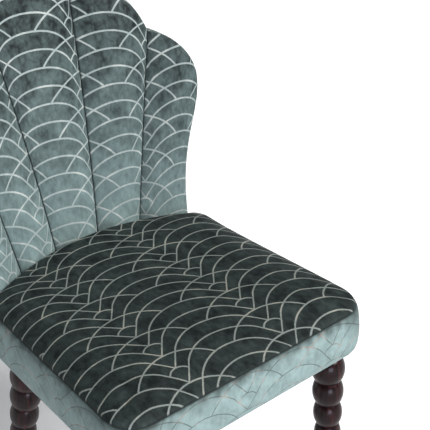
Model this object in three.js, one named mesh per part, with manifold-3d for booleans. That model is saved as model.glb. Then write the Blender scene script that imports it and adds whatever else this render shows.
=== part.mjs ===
// Scallop back side chair: an upholstered seat box on four turned bobbin legs,
// and a fanned, channelled back on a curved plywood panel. Millimetres, +Z up.
// The chair stands on the floor at z = 0 and faces -Y.
import * as THREE from 'three';
import { mergeVertices } from 'three/addons/utils/BufferGeometryUtils.js';
import Module from 'manifold-3d';

const wasm = await Module();
wasm.setup();

// Driving dimensions: the seat
const SEAT_HEIGHT = 455;          // floor to the seam round the top of the seat
const SEAT_WIDTH_FRONT = 496;
const SEAT_WIDTH_REAR = 444;
const SEAT_DEPTH = 443;           // front seam to the middle of the rear edge
const SEAT_CROWN = 18;
const SEAT_REAR_LIFT = 8;         // the rear edge is packed up against the back
const FRONT_CORNER_RADIUS = 50;
const REAR_CORNER_RADIUS = 18;
const BORDER_HEIGHT = 85;
const BORDER_BULGE = 3;
const BORDER_FOOT_RADIUS = 7;
const BORDER_RETURN = 7;          // cloth turned under the frame
const BORDER_END_X = 177;         // the border ends on the rear edge, behind the lobes

// Driving dimensions: cloth, foam and clearances
const CLOTH = 1.5;
const LINING = 0.8;
const GAP = 0.3;                  // between pieces that bear on each other
const LAYER_GAP = 0.8;            // between curved layers of the back
const EDGE_GAP = 2.5;             // between pieces stacked inside the scalloped edge
const OVERRUN = 12;               // how far a cutter runs past what it cuts

// Driving dimensions: the seat frame
const FRAME_INSET = 5;            // frame face to the line of the border
const RAIL_HEIGHT = 50;
const RAIL_THICKNESS = 25;
const POST_SIZE = 76;
const REAR_RAIL_HALF = 176;
const WEBBING_WIDTH = 50;
const WEBBING_THICKNESS = 1.5;
const HESSIAN = 1;

// Driving dimensions: legs and their fixings
const LEG_TOP_DIAMETER = 61;
const LEG_MARGIN = 4.9;           // from the side of the frame to the top of a leg
const LEG_FOOT_DIAMETER = 31.8;
const FRONT_LEG_SPLAY = 7;        // foot outside the top
const FRONT_LEG_RAKE = 12;        // foot ahead of the top
const REAR_LEG_SPLAY = 3;
const REAR_LEG_RAKE = 77;         // foot behind the top
const GLIDE_DIAMETER = 22;
const GLIDE_HEIGHT = 4;
const BOLT_DIAMETER = 8;
const BOLT_IN_LEG = 32;
const BOLT_IN_POST = 42;
const INSERT_DIAMETER = 13;
const INSERT_LENGTH = 22;
const INSERT_DEPTH = 3;           // below the face of the post

// Driving dimensions: the back, heights measured from the seat's seam
const BACK_HEIGHT = 490;
const BACK_LEAN = 81;             // set-back of the top along a straight line
const BACK_BEND = 60;             // and the further set-back of the bend
const BACK_SAG = 43;              // barrel curve in plan at the sag reach
const BACK_SAG_GROWTH = 15;
const SAG_REACH = 200;
const BACK_FOOT_HALF = 207;
const BACK_WIDE_HALF = 251;
const BACK_WIDE_UP = 258;
const INNER_SEAM_FOOT = 44.5;
const INNER_NOTCH_X = 84.5;
const INNER_NOTCH_UP = 426;
const OUTER_SEAM_FOOT = 126;
const OUTER_NOTCH_X = 193;
const OUTER_NOTCH_UP = 340;
const LOBE_TUCK = 26;             // the lobes run down behind the seat
const LOBE_TUCK_DRAW = 7;         // drawn in by this much, from the height given below
const LOBE_DRAW_UP = 30;
const LOBE_BULGE = 26;
const LOBE_BULGE_FOOT = 18;
const LOBE_BULGE_TUCK = 8;
const LOBE_FULL_UP = 100;         // the lobes are at full depth from here up
const VALLEY = 12;                // seams behind the middle surface
const SEAM_GAP = 0.6;
const PANEL_THICKNESS = 9;
const PANEL_INSET = 10;
const BACK_FRAME_FOOT = 24;       // depth of the uprights at the foot and the top
const BACK_FRAME_TOP = 14;
const BACK_WADDING = 3;
const UPRIGHT_X = 120;
const UPRIGHT_WIDTH = 40;
const UPRIGHT_UP = 372;
const BRACE_HEIGHT = 42;
const BACK_BOLT_DIAMETER = 8;
const BACK_BOLT_IN_UPRIGHT = 16;
const BACK_BOLT_PITCH = 24;
const BOLT_FLANGE = 19;
const BOLT_FLANGE_THICKNESS = 1.6;
const BOLT_HEAD = 13;
const BOLT_HEAD_HEIGHT = 7;

// Shares and counts
const SEAM_CURVE_SHARE = 0.18;
const ARC_HANDLE_SHARE = 0.5523;
const BOBBINS = 8;
const BOBBIN_SHORTEN_SHARE = 0.0314;
const TOP_BOBBIN_SHARE = 0.54;
const BOBBIN_FULLNESS_SHARE = 1.47;
const BOBBIN_RING_SHARES = [-0.76, -0.3, 0.3, 0.76];
const LEG_SIDES = 12;
const ROUND_SIDES = 10;
const LOBE_ACROSS = 8;
const LOBE_UP = 10;
const LAYER_ACROSS = 4;
const LAYER_UP = 8;
const LOBE_SIDE_POWER = 2.4;
const LOBE_TOP_POWER = 12;
const FOAM_SIDE_SHARE = 0.028;
const FOAM_TOP_SHARE = 0.014;
const CROWN_POWER = 2.6;
const CROWN_RING_SHARES = [0, 0.3, 0.55, 0.75, 0.89, 0.97, 1];
const CORNER_STEPS = 6;
const STRAIGHT_STEPS = 3;
const REAR_EDGE_STEPS = 16;
const GLIDE_CHAMFER_SHARE = 0.4;
const LONG_STRAPS = 3;
const CROSS_STRAPS = 2;
const REAR_LIFT_POWER = 8;
const GLIDE_SIDES = 12;
const OUTLINE_STEPS = { foot: 6, outer: 5, inner: 6, middle: 5 };

// Heights worked out from the sizes above
const FRAME_BOTTOM = SEAT_HEIGHT - BORDER_HEIGHT + CLOTH + GAP;
const FRAME_TOP = FRAME_BOTTOM + RAIL_HEIGHT;
const WEBBING_TOP = FRAME_TOP + 2 * (WEBBING_THICKNESS + GAP);
const HESSIAN_TOP = WEBBING_TOP + GAP + HESSIAN;
const LEG_TOP = FRAME_BOTTOM - GAP;
const PANEL_FRONT = VALLEY + CLOTH + 2 * LAYER_GAP + GAP;
const PANEL_REAR = PANEL_FRONT + PANEL_THICKNESS;
const BACK_BOTTOM_UP = FRAME_BOTTOM - SEAT_HEIGHT;
const BORDER_BOTTOM = SEAT_HEIGHT - BORDER_HEIGHT;
// The middle surface of the back at the seam: the foot of each lobe just meets the seat.
const BACK_FOOT_Y = SEAT_DEPTH + LOBE_BULGE_FOOT - VALLEY + LAYER_GAP;
const SEAT_REAR_BOW = BACK_SAG * (SEAT_WIDTH_REAR / 2 / SAG_REACH) ** 2;

const finishes = {
  velvet: { color: 0x4d5f60, roughness: 0.8, metalness: 0 },
  foam: { color: 0xe8dfb8, roughness: 0.95, metalness: 0 },
  wadding: { color: 0xf1efe9, roughness: 1, metalness: 0 },
  lining: { color: 0x18191b, roughness: 0.95, metalness: 0 },
  hessian: { color: 0xa98c5e, roughness: 1, metalness: 0 },
  webbing: { color: 0x7a6a48, roughness: 0.95, metalness: 0 },
  beech: { color: 0xcaa274, roughness: 0.7, metalness: 0 },
  plywood: { color: 0xd2b184, roughness: 0.75, metalness: 0 },
  darkWood: { color: 0x2f1f20, roughness: 0.35, metalness: 0 },
  steel: { color: 0xa9adb0, roughness: 0.35, metalness: 1 },
  nylon: { color: 0x1c1c1d, roughness: 0.5, metalness: 0 },
};

const chair = new THREE.Group();

function addPiece(name, finish, geometry) {
  const mesh = new THREE.Mesh(cleaned(geometry), new THREE.MeshStandardMaterial(finishes[finish]));
  mesh.name = name;
  chair.add(mesh);
}

// One closed skin: doubled corners joined, faces without area left out, all facing out.
function cleaned(geometry) {
  const bare = geometry.clone();
  bare.deleteAttribute('normal');
  bare.deleteAttribute('uv');
  const merged = mergeVertices(bare);
  const index = merged.index.array;
  const kept = [];
  for (let i = 0; i < index.length; i += 3) {
    const [a, b, c] = [index[i], index[i + 1], index[i + 2]];
    if (a !== b && b !== c && c !== a) {
      kept.push(a, b, c);
    }
  }
  merged.setIndex(kept);
  return faceOutward(merged);
}

// A closed mesh becomes a solid that can be cut, and a cut solid a mesh again.
function toSolid(geometry) {
  const merged = cleaned(geometry);
  return new wasm.Manifold(new wasm.Mesh({
    numProp: 3,
    vertProperties: new Float32Array(merged.attributes.position.array),
    triVerts: new Uint32Array(merged.index.array),
  }));
}

function toGeometry(solid) {
  const mesh = solid.getMesh();
  const geometry = new THREE.BufferGeometry();
  geometry.setAttribute('position', new THREE.BufferAttribute(new Float32Array(mesh.vertProperties), 3));
  geometry.setIndex(Array.from(mesh.triVerts));
  geometry.computeVertexNormals();
  return geometry;
}

function cutAway(geometry, cutters) {
  let solid = toSolid(geometry);
  for (const cutter of cutters) {
    solid = solid.subtract(toSolid(cutter));
  }
  return toGeometry(solid);
}

function boxBetween(low, high) {
  const size = new THREE.Vector3().subVectors(high, low);
  const centre = new THREE.Vector3().addVectors(high, low).divideScalar(2);
  return new THREE.BoxGeometry(size.x, size.y, size.z).translate(centre.x, centre.y, centre.z);
}

// A round rod between two points.
function rod(from, to, radius, sides = ROUND_SIDES) {
  const along = new THREE.Vector3().subVectors(to, from);
  const geometry = new THREE.CylinderGeometry(radius, radius, along.length(), sides);
  const turn = new THREE.Quaternion().setFromUnitVectors(
    new THREE.Vector3(0, 1, 0), along.clone().normalize());
  geometry.applyQuaternion(turn);
  const middle = new THREE.Vector3().addVectors(from, to).divideScalar(2);
  return geometry.translate(middle.x, middle.y, middle.z);
}

// The radius of a bore that clears a rod, allowing for the flat sides of both.
const boreRadius = (diameter) => diameter / 2 / Math.cos(Math.PI / ROUND_SIDES) + GAP;

// The seat's plan: a straight front, tapered sides and a rear edge bowed like the back.
function seatShape(inset) {
  const halfFront = SEAT_WIDTH_FRONT / 2 - inset;
  const halfRear = SEAT_WIDTH_REAR / 2 - inset;
  const front = inset;
  const rearCorner = SEAT_DEPTH - SEAT_REAR_BOW - inset;
  const frontRadius = Math.max(FRONT_CORNER_RADIUS - inset, CLOTH);
  const rearRadius = Math.max(REAR_CORNER_RADIUS - inset, CLOTH);
  const side = new THREE.Vector2(halfRear - halfFront, rearCorner - front).normalize();
  const rearEnd = halfRear - rearRadius;
  const bowShare = (rearEnd / halfRear) ** 2;
  const rearEndY = SEAT_DEPTH - inset - SEAT_REAR_BOW * bowShare;
  const pull = 1 - ARC_HANDLE_SHARE;
  const shape = new THREE.Shape();
  shape.moveTo(-(halfFront - frontRadius), front);
  shape.lineTo(halfFront - frontRadius, front);
  shape.bezierCurveTo(
    halfFront - frontRadius * pull, front,
    halfFront + side.x * frontRadius * pull, front + side.y * frontRadius * pull,
    halfFront + side.x * frontRadius, front + side.y * frontRadius);
  shape.lineTo(halfRear - side.x * rearRadius, rearCorner - side.y * rearRadius);
  shape.bezierCurveTo(
    halfRear - side.x * rearRadius * pull, rearCorner - side.y * rearRadius * pull,
    halfRear - rearRadius * pull, rearCorner + (rearEndY - rearCorner) * ARC_HANDLE_SHARE,
    rearEnd, rearEndY);
  shape.quadraticCurveTo(0, SEAT_DEPTH - inset + SEAT_REAR_BOW * bowShare, -rearEnd, rearEndY);
  shape.bezierCurveTo(
    -(halfRear - rearRadius * pull), rearCorner + (rearEndY - rearCorner) * ARC_HANDLE_SHARE,
    -(halfRear - side.x * rearRadius * pull), rearCorner - side.y * rearRadius * pull,
    -(halfRear - side.x * rearRadius), rearCorner - side.y * rearRadius);
  shape.lineTo(-(halfFront + side.x * frontRadius), front + side.y * frontRadius);
  shape.bezierCurveTo(
    -(halfFront + side.x * frontRadius * pull), front + side.y * frontRadius * pull,
    -(halfFront - frontRadius * pull), front,
    -(halfFront - frontRadius), front);
  return shape;
}

function prism(shape, bottom, top) {
  const geometry = new THREE.ExtrudeGeometry(shape, {
    depth: top - bottom, bevelEnabled: false, curveSegments: CORNER_STEPS,
  });
  return geometry.translate(0, 0, bottom);
}

// A closed skin from rows of points, each row a loop round the strip, with flat ends.
function stripSkin(rows) {
  const count = rows[0].length;
  const positions = [];
  const index = [];
  for (const row of rows) {
    for (const point of row) {
      positions.push(point.x, point.y, point.z);
    }
  }
  for (let r = 0; r + 1 < rows.length; r += 1) {
    for (let c = 0; c < count; c += 1) {
      const d = (c + 1) % count;
      const here = r * count;
      const next = (r + 1) * count;
      index.push(here + c, here + d, next + d);
      index.push(here + c, next + d, next + c);
    }
  }
  const last = (rows.length - 1) * count;
  for (let c = 1; c + 1 < count; c += 1) {
    index.push(0, c + 1, c);
    index.push(last, last + c, last + c + 1);
  }
  return skinFrom(positions, index);
}

function skinFrom(positions, index) {
  const geometry = new THREE.BufferGeometry();
  geometry.setAttribute('position', new THREE.Float32BufferAttribute(positions, 3));
  geometry.setIndex(index);
  return faceOutward(geometry);
}

// Turns every face over when the skin is inside out.
function faceOutward(geometry) {
  const position = geometry.attributes.position;
  const index = Array.from(geometry.index.array);
  const a = new THREE.Vector3();
  const b = new THREE.Vector3();
  const c = new THREE.Vector3();
  let volume = 0;
  for (let i = 0; i < index.length; i += 3) {
    a.fromBufferAttribute(position, index[i]);
    b.fromBufferAttribute(position, index[i + 1]);
    c.fromBufferAttribute(position, index[i + 2]);
    volume += a.dot(b.cross(c));
  }
  if (volume < 0) {
    for (let i = 0; i < index.length; i += 3) {
      [index[i + 1], index[i + 2]] = [index[i + 2], index[i + 1]];
    }
    geometry.setIndex(index);
  }
  geometry.computeVertexNormals();
  return geometry;
}

// A sheet of quads with a thickness: place(corner, side) gives the point on each face,
// and walls close the sheet along every edge that only one quad uses.
function slab(quads, place) {
  const keys = new Map();
  const corners = [];
  const keyOf = (p) => {
    const key = `${p.u.toFixed(4)},${p.v.toFixed(4)}`;
    if (!keys.has(key)) {
      keys.set(key, corners.length);
      corners.push(p);
    }
    return keys.get(key);
  };
  const faces = quads.map((quad) => quad.map(keyOf));
  const count = corners.length;
  const positions = [];
  for (const side of [0, 1]) {
    for (const corner of corners) {
      const point = place(corner, side);
      positions.push(point.x, point.y, point.z);
    }
  }
  const index = [];
  const edges = new Map();
  const addFace = (a, b, c) => {
    if (a !== b && b !== c && c !== a) {
      index.push(a, b, c, count + a, count + c, count + b);
    }
  };
  for (const [a, b, c, d] of faces) {
    addFace(a, b, c);
    addFace(a, c, d);
    for (const [from, to] of [[a, b], [b, c], [c, d], [d, a]]) {
      const back = `${to},${from}`;
      if (from === to) {
        continue;
      }
      if (edges.has(back)) {
        edges.delete(back);
      } else {
        edges.set(`${from},${to}`, [from, to]);
      }
    }
  }
  for (const [from, to] of edges.values()) {
    index.push(from, count + from, count + to, from, count + to, to);
  }
  return skinFrom(positions, index);
}

// The back's middle surface, in plan a barrel curve, in profile leaning and bent.
// Below the seam it runs straight down.
function backY(x, up) {
  const rise = Math.max(up, 0) / BACK_HEIGHT;
  const sag = BACK_SAG + BACK_SAG_GROWTH * rise;
  return BACK_FOOT_Y - sag * (x / SAG_REACH) ** 2 + BACK_LEAN * rise + BACK_BEND * rise * rise;
}

function backPoint(x, up, behind) {
  return new THREE.Vector3(x, backY(x, up) + behind, SEAT_HEIGHT + up);
}

function backFrameDepth(up) {
  const rise = THREE.MathUtils.clamp(up / BACK_HEIGHT, 0, 1);
  return THREE.MathUtils.lerp(BACK_FRAME_FOOT, BACK_FRAME_TOP, rise);
}

const frameFront = PANEL_REAR + LAYER_GAP;
const frameRear = (up) => frameFront + backFrameDepth(up);
const waddingFront = (up) => frameRear(up) + LAYER_GAP;
const outerClothFront = (up) => waddingFront(up) + BACK_WADDING + LAYER_GAP;
const outerClothRear = (up) => outerClothFront(up) + CLOTH;

// The four outline curves of the right half, from the foot up and in to the middle.
function outlineCurves() {
  const v = (x, up) => new THREE.Vector2(x, up);
  const wide = v(BACK_WIDE_HALF, BACK_WIDE_UP);
  const outerNotch = v(OUTER_NOTCH_X, OUTER_NOTCH_UP);
  const innerNotch = v(INNER_NOTCH_X, INNER_NOTCH_UP);
  const outerRise = OUTER_NOTCH_UP - BACK_WIDE_UP;
  const outerRun = BACK_WIDE_HALF - OUTER_NOTCH_X;
  const innerRise = INNER_NOTCH_UP - OUTER_NOTCH_UP;
  const innerRun = OUTER_NOTCH_X - INNER_NOTCH_X;
  const middleRise = BACK_HEIGHT - INNER_NOTCH_UP;
  const footHandleShares = [0.57, 0.3];
  const outerShares = [0.47, 0.38, 0.86];
  const innerShares = [0.05, 0.5, 0.48, 1.15];
  const middleShares = [0.06, 0.56, 0.56];
  return {
    foot: new THREE.CubicBezierCurve(
      v(BACK_FOOT_HALF, 0),
      v(BACK_FOOT_HALF, BACK_WIDE_UP * footHandleShares[0]),
      v(BACK_WIDE_HALF, BACK_WIDE_UP * (1 - footHandleShares[1])),
      wide),
    outer: new THREE.CubicBezierCurve(
      wide,
      v(BACK_WIDE_HALF, BACK_WIDE_UP + outerRise * outerShares[0]),
      v(BACK_WIDE_HALF - outerRun * outerShares[1], BACK_WIDE_UP + outerRise * outerShares[2]),
      outerNotch),
    inner: new THREE.CubicBezierCurve(
      outerNotch,
      v(OUTER_NOTCH_X - innerRun * innerShares[0], OUTER_NOTCH_UP + innerRise * innerShares[1]),
      v(INNER_NOTCH_X + innerRun * innerShares[2], OUTER_NOTCH_UP + innerRise * innerShares[3]),
      innerNotch),
    middle: new THREE.CubicBezierCurve(
      innerNotch,
      v(INNER_NOTCH_X * (1 - middleShares[0]), INNER_NOTCH_UP + middleRise * middleShares[1]),
      v(INNER_NOTCH_X * middleShares[2], BACK_HEIGHT),
      v(0, BACK_HEIGHT)),
  };
}

const outline = outlineCurves();

function inwardNormal(curve, share) {
  const tangent = curve.getTangent(share);
  return new THREE.Vector2(-tangent.y, tangent.x);
}

// A point of an outline curve, moved in by an inset. Notches are mitred.
function outlinePoint(name, share, inset) {
  const order = ['foot', 'outer', 'inner', 'middle'];
  const curve = outline[name];
  const point = curve.getPoint(share);
  const normal = inwardNormal(curve, share);
  const place = order.indexOf(name);
  let other = null;
  if (share === 1 && place < order.length - 1) {
    other = inwardNormal(outline[order[place + 1]], 0);
  }
  if (share === 0 && place > 0) {
    other = inwardNormal(outline[order[place - 1]], 1);
  }
  if (other) {
    const reach = 1 + normal.dot(other);
    normal.add(other).divideScalar(reach);
  }
  return point.addScaledVector(normal, inset);
}

function seamX(footX, notch, up) {
  const rise = up / notch.y;
  const bend = (1 - SEAM_CURVE_SHARE) * rise + SEAM_CURVE_SHARE * rise * rise;
  return footX + (notch.x - footX) * bend;
}

// Sides of the right-hand and middle lobes as functions of a share from the seam up.
function lobeSides(inset) {
  const seam = (footX, notch) => (share) => {
    const up = notch.y * share;
    return new THREE.Vector2(seamX(footX, notch, up), up);
  };
  return {
    inner: seam(INNER_SEAM_FOOT, outlinePoint('inner', 1, inset)),
    outer: seam(OUTER_SEAM_FOOT, outlinePoint('outer', 1, inset)),
    edge: (share) => edgeAt(BACK_WIDE_UP * share, inset),
  };
}

// The outer edge at a height between the foot and the widest place.
function edgeAt(up, inset) {
  let low = 0;
  let high = 1;
  const halvings = 24;
  for (let i = 0; i < halvings; i += 1) {
    const middle = (low + high) / 2;
    if (outline.foot.getPoint(middle).y < up) {
      low = middle;
    } else {
      high = middle;
    }
  }
  return outlinePoint('foot', up >= BACK_WIDE_UP ? 1 : low, inset);
}

const mirrored = (p) => new THREE.Vector2(-p.x, p.y);

// A lobe's left and right seams and the scallop between them.
function lobePatch(name, inset) {
  const sides = lobeSides(inset);
  const middleTop = (share) => (share < 1 / 2
    ? mirrored(outlinePoint('middle', 2 * share, inset))
    : outlinePoint('middle', 2 - 2 * share, inset));
  const patches = {
    middle: { left: (t) => mirrored(sides.inner(t)), right: sides.inner, top: middleTop },
    inner: { left: sides.inner, right: sides.outer, top: (s) => outlinePoint('inner', 1 - s, inset) },
    outer: { left: sides.outer, right: sides.edge, top: (s) => outlinePoint('outer', 1 - s, inset) },
  };
  return patches[name];
}

function patchPoint(patch, s, t) {
  const left = patch.left(t);
  const right = patch.right(t);
  const top = patch.top(s);
  const foot = patch.left(0).lerp(patch.right(0), s);
  const topLeft = patch.top(0);
  const topRight = patch.top(1);
  const footLeft = patch.left(0);
  const footRight = patch.right(0);
  const point = new THREE.Vector2();
  point.addScaledVector(left, 1 - s).addScaledVector(right, s);
  point.addScaledVector(foot, 1 - t).addScaledVector(top, t);
  point.addScaledVector(footLeft, -(1 - s) * (1 - t)).addScaledVector(footRight, -s * (1 - t));
  point.addScaledVector(topLeft, -(1 - s) * t).addScaledVector(topRight, -s * t);
  return point;
}

const evenShare = (i, steps) => i / steps;
const crowdedAcross = (i, steps) => (1 - Math.cos(Math.PI * i / steps)) / 2;
const crowdedUp = (i, steps) => Math.sin(Math.PI / 2 * i / steps);

// Quads over a lobe, from its foot below the seam in one step and then up to the scallop.
function patchQuads(patch, isFlipped, bottom, across, upward) {
  const corner = (i, j) => {
    const s = across.share(i, across.steps);
    const t = upward.share(Math.max(j, 0), upward.steps);
    const p = patchPoint(patch, across.trim + s * (1 - 2 * across.trim), t * (1 - upward.trim));
    return { u: isFlipped ? -p.x : p.x, v: j < 0 ? bottom : p.y, s, t };
  };
  const quads = [];
  for (let i = 0; i < across.steps; i += 1) {
    for (let j = -1; j < upward.steps; j += 1) {
      const quad = [corner(i, j), corner(i + 1, j), corner(i + 1, j + 1), corner(i, j + 1)];
      quads.push(isFlipped ? quad.reverse() : quad);
    }
  }
  return quads;
}

function lobeBulge(up) {
  if (up < 0) {
    const sink = Math.min(-up / LOBE_TUCK, 1);
    return THREE.MathUtils.lerp(LOBE_BULGE_FOOT, LOBE_BULGE_TUCK, sink);
  }
  const rise = Math.min(up / LOBE_FULL_UP, 1);
  return THREE.MathUtils.lerp(LOBE_BULGE_FOOT, LOBE_BULGE, rise);
}

// How far the lobe stands out of its seams at a place, less a skin.
function lobeRise(corner, less) {
  const across = Math.sqrt(Math.max(1 - Math.abs(2 * corner.s - 1) ** LOBE_SIDE_POWER, 0));
  const down = Math.sqrt(Math.max(1 - corner.t ** LOBE_TOP_POWER, 0));
  return Math.max(lobeBulge(corner.v) - less, 0) * across * down;
}

const lobes = [
  { name: 'outer_left', side: 'outer', flip: true },
  { name: 'inner_left', side: 'inner', flip: true },
  { name: 'middle', side: 'middle', flip: false },
  { name: 'inner_right', side: 'inner', flip: false },
  { name: 'outer_right', side: 'outer', flip: false },
];

// A lobe's quads, drawn in from its seams and, at the seat, from its outer edge.
// The steps crowd towards the seams and the scallop, where the lobe turns.
function lobeQuads(lobe, seamInset, sideTrim, topTrim) {
  const quads = patchQuads(
    lobePatch(lobe.side, 0), lobe.flip, -LOBE_TUCK,
    { share: crowdedAcross, steps: LOBE_ACROSS, trim: sideTrim },
    { share: crowdedUp, steps: LOBE_UP, trim: topTrim });
  const sign = lobe.flip ? -1 : 1;
  const draw = lobe.side === 'outer' ? LOBE_TUCK_DRAW : 0;
  for (const corner of quads.flat()) {
    const sink = THREE.MathUtils.clamp((LOBE_DRAW_UP - corner.v) / (LOBE_DRAW_UP + LOBE_TUCK), 0, 1);
    corner.u += sign * (seamInset * (1 - corner.s) - (seamInset + draw * sink) * corner.s);
  }
  return quads;
}

function lobeCover(lobe) {
  const quads = lobeQuads(lobe, SEAM_GAP / 2, 0, 0);
  return slab(quads, (corner, side) => {
    const rise = lobeRise(corner, 0);
    return backPoint(corner.u, corner.v, VALLEY - rise + side * CLOTH);
  });
}

function lobeFoam(lobe) {
  const quads = lobeQuads(lobe, CLOTH, FOAM_SIDE_SHARE, FOAM_TOP_SHARE);
  const rear = PANEL_FRONT - LAYER_GAP;
  return slab(quads, (corner, side) => {
    const rise = lobeRise(corner, LAYER_GAP);
    const front = Math.min(VALLEY + CLOTH - rise, rear - CLOTH);
    return backPoint(corner.u, corner.v, side ? rear : front);
  });
}

// The whole scalloped area as quads, down to the bottom of the seat frame.
function backQuads(inset) {
  return lobes.flatMap((lobe) => patchQuads(
    lobePatch(lobe.side, inset), lobe.flip, BACK_BOTTOM_UP,
    { share: evenShare, steps: LAYER_ACROSS, trim: 0 },
    { share: evenShare, steps: LAYER_UP, trim: 0 }));
}

function backLayer(inset, front, rear) {
  return slab(backQuads(inset), (corner, side) => (
    backPoint(corner.u, corner.v, side ? rear(corner.v) : front(corner.v))));
}

// A member of the back frame that follows the back's curve, between heights in rows.
function backMember(left, right, ups, across) {
  const quads = [];
  const corner = (i, j) => ({ u: THREE.MathUtils.lerp(left, right, i / across), v: ups[j] });
  for (let i = 0; i < across; i += 1) {
    for (let j = 0; j + 1 < ups.length; j += 1) {
      quads.push([corner(i, j), corner(i + 1, j), corner(i + 1, j + 1), corner(i, j + 1)]);
    }
  }
  return slab(quads, (p, side) => backPoint(p.u, p.v, side ? frameRear(p.v) : frameFront));
}

// Points round the scalloped outline, from the foot on the right to the foot on the left.
function outlineLoop(inset) {
  const right = [new THREE.Vector2(BACK_FOOT_HALF - inset, BACK_BOTTOM_UP)];
  right.push(new THREE.Vector2(BACK_FOOT_HALF - inset, -LOBE_TUCK / 2));
  for (const [name, steps] of Object.entries(OUTLINE_STEPS)) {
    for (let i = 0; i < steps; i += 1) {
      right.push(outlinePoint(name, i / steps, inset));
    }
  }
  const left = right.map(mirrored).reverse();
  return [...right, outlinePoint('middle', 1, inset), ...left];
}

// A strip that follows the outline, between two insets and two depths.
function edgeStrip(insetOuter, insetInner, front, rear) {
  const outer = outlineLoop(insetOuter);
  const inner = outlineLoop(insetInner);
  const rows = outer.map((p, i) => {
    const q = inner[i];
    return [
      backPoint(p.x, p.y, front(p.y)),
      backPoint(p.x, p.y, rear(p.y)),
      backPoint(q.x, q.y, rear(q.y)),
      backPoint(q.x, q.y, front(q.y)),
    ];
  });
  return stripSkin(rows);
}

// Seat frame

const frameOuter = prism(seatShape(FRAME_INSET), FRAME_BOTTOM, FRAME_TOP);
const postFrontY = FRAME_INSET + POST_SIZE;
const postRearY = SEAT_DEPTH - SEAT_REAR_BOW - FRAME_INSET - POST_SIZE;
const legFrontY = postFrontY - POST_SIZE / 2;
const legRearY = postRearY + POST_SIZE / 2;
const sideSlope = (SEAT_WIDTH_FRONT - SEAT_WIDTH_REAR) / 2 / (SEAT_DEPTH - SEAT_REAR_BOW);
const frameSideX = (y) => SEAT_WIDTH_FRONT / 2 - sideSlope * y - FRAME_INSET;
const legX = (y) => frameSideX(y) - LEG_MARGIN - LEG_TOP_DIAMETER / 2;
const postFrontX = legX(legFrontY) - POST_SIZE / 2;
const postRearX = legX(legRearY) - POST_SIZE / 2;

function frameBlock(x0, x1, y0, y1) {
  return boxBetween(
    new THREE.Vector3(x0, y0, FRAME_BOTTOM - OVERRUN),
    new THREE.Vector3(x1, y1, FRAME_TOP + OVERRUN));
}

function frameMember(block) {
  return toSolid(frameOuter).intersect(toSolid(block));
}

function innerPrism() {
  const shape = seatShape(FRAME_INSET + RAIL_THICKNESS);
  return toSolid(prism(shape, FRAME_BOTTOM - OVERRUN, FRAME_TOP + OVERRUN));
}

// The legs keep one distance from the sides of the frame, and the posts are set round them.
function legAxis(isFront, sign) {
  const y = isFront ? legFrontY : legRearY;
  const x = legX(y);
  const top = new THREE.Vector3(sign * x, y, FRAME_BOTTOM);
  const splay = isFront ? FRONT_LEG_SPLAY : REAR_LEG_SPLAY;
  const rake = isFront ? -FRONT_LEG_RAKE : REAR_LEG_RAKE;
  const foot = new THREE.Vector3(sign * (x + splay), y + rake, GLIDE_HEIGHT);
  const down = new THREE.Vector3().subVectors(foot, top).normalize();
  return { top, foot, down, length: foot.distanceTo(top) };
}

const legPlaces = [
  { name: 'front_left', isFront: true, sign: -1 },
  { name: 'front_right', isFront: true, sign: 1 },
  { name: 'rear_left', isFront: false, sign: -1 },
  { name: 'rear_right', isFront: false, sign: 1 },
];

function post(place) {
  const far = SEAT_WIDTH_FRONT;
  const inner = place.isFront ? postFrontX : postRearX;
  const y0 = place.isFront ? -OVERRUN : postRearY;
  const y1 = place.isFront ? postFrontY : SEAT_DEPTH;
  const xs = [place.sign * inner, place.sign * far].sort((a, b) => a - b);
  const block = frameMember(frameBlock(xs[0], xs[1], y0, y1));
  const axis = legAxis(place.isFront, place.sign);
  const up = axis.down.clone().negate();
  const thinBore = rod(
    axis.top.clone().addScaledVector(up, -OVERRUN),
    axis.top.clone().addScaledVector(up, BOLT_IN_POST + GAP),
    boreRadius(BOLT_DIAMETER));
  const wideBore = rod(
    axis.top.clone().addScaledVector(up, -OVERRUN),
    axis.top.clone().addScaledVector(up, INSERT_DEPTH + INSERT_LENGTH + GAP),
    boreRadius(INSERT_DIAMETER));
  return toGeometry(block.subtract(toSolid(thinBore)).subtract(toSolid(wideBore)));
}

for (const place of legPlaces) {
  addPiece(`corner_post_${place.name}`, 'beech', post(place));
}

const hollow = innerPrism();

addPiece('seat_rail_front', 'beech', toGeometry(
  frameMember(frameBlock(GAP - postFrontX, postFrontX - GAP, -OVERRUN, postFrontY)).subtract(hollow)));

function sideRail(sign) {
  const xs = [sign * RAIL_THICKNESS, sign * SEAT_WIDTH_FRONT].sort((a, b) => a - b);
  const block = frameBlock(xs[0], xs[1], postFrontY + GAP, postRearY - GAP);
  return toGeometry(frameMember(block).subtract(hollow));
}

addPiece('seat_rail_left', 'beech', sideRail(-1));
addPiece('seat_rail_right', 'beech', sideRail(1));

// The rear rail is sawn to the back's curve: the posts bear on its front face,
// and the back bolts flat against its rear face.
const railMiddleUp = BACK_BOTTOM_UP + RAIL_HEIGHT / 2;
const boltPlaces = [
  { name: 'lower_left', x: -UPRIGHT_X, up: railMiddleUp - BACK_BOLT_PITCH / 2 },
  { name: 'upper_left', x: -UPRIGHT_X, up: railMiddleUp + BACK_BOLT_PITCH / 2 },
  { name: 'lower_right', x: UPRIGHT_X, up: railMiddleUp - BACK_BOLT_PITCH / 2 },
  { name: 'upper_right', x: UPRIGHT_X, up: railMiddleUp + BACK_BOLT_PITCH / 2 },
];
const railRearY = (x) => backY(x, 0) + PANEL_FRONT - LAYER_GAP;
const railFrontY = (x) => backY(x, 0) - BACK_FOOT_Y + SEAT_DEPTH - FRAME_INSET + GAP;

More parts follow.
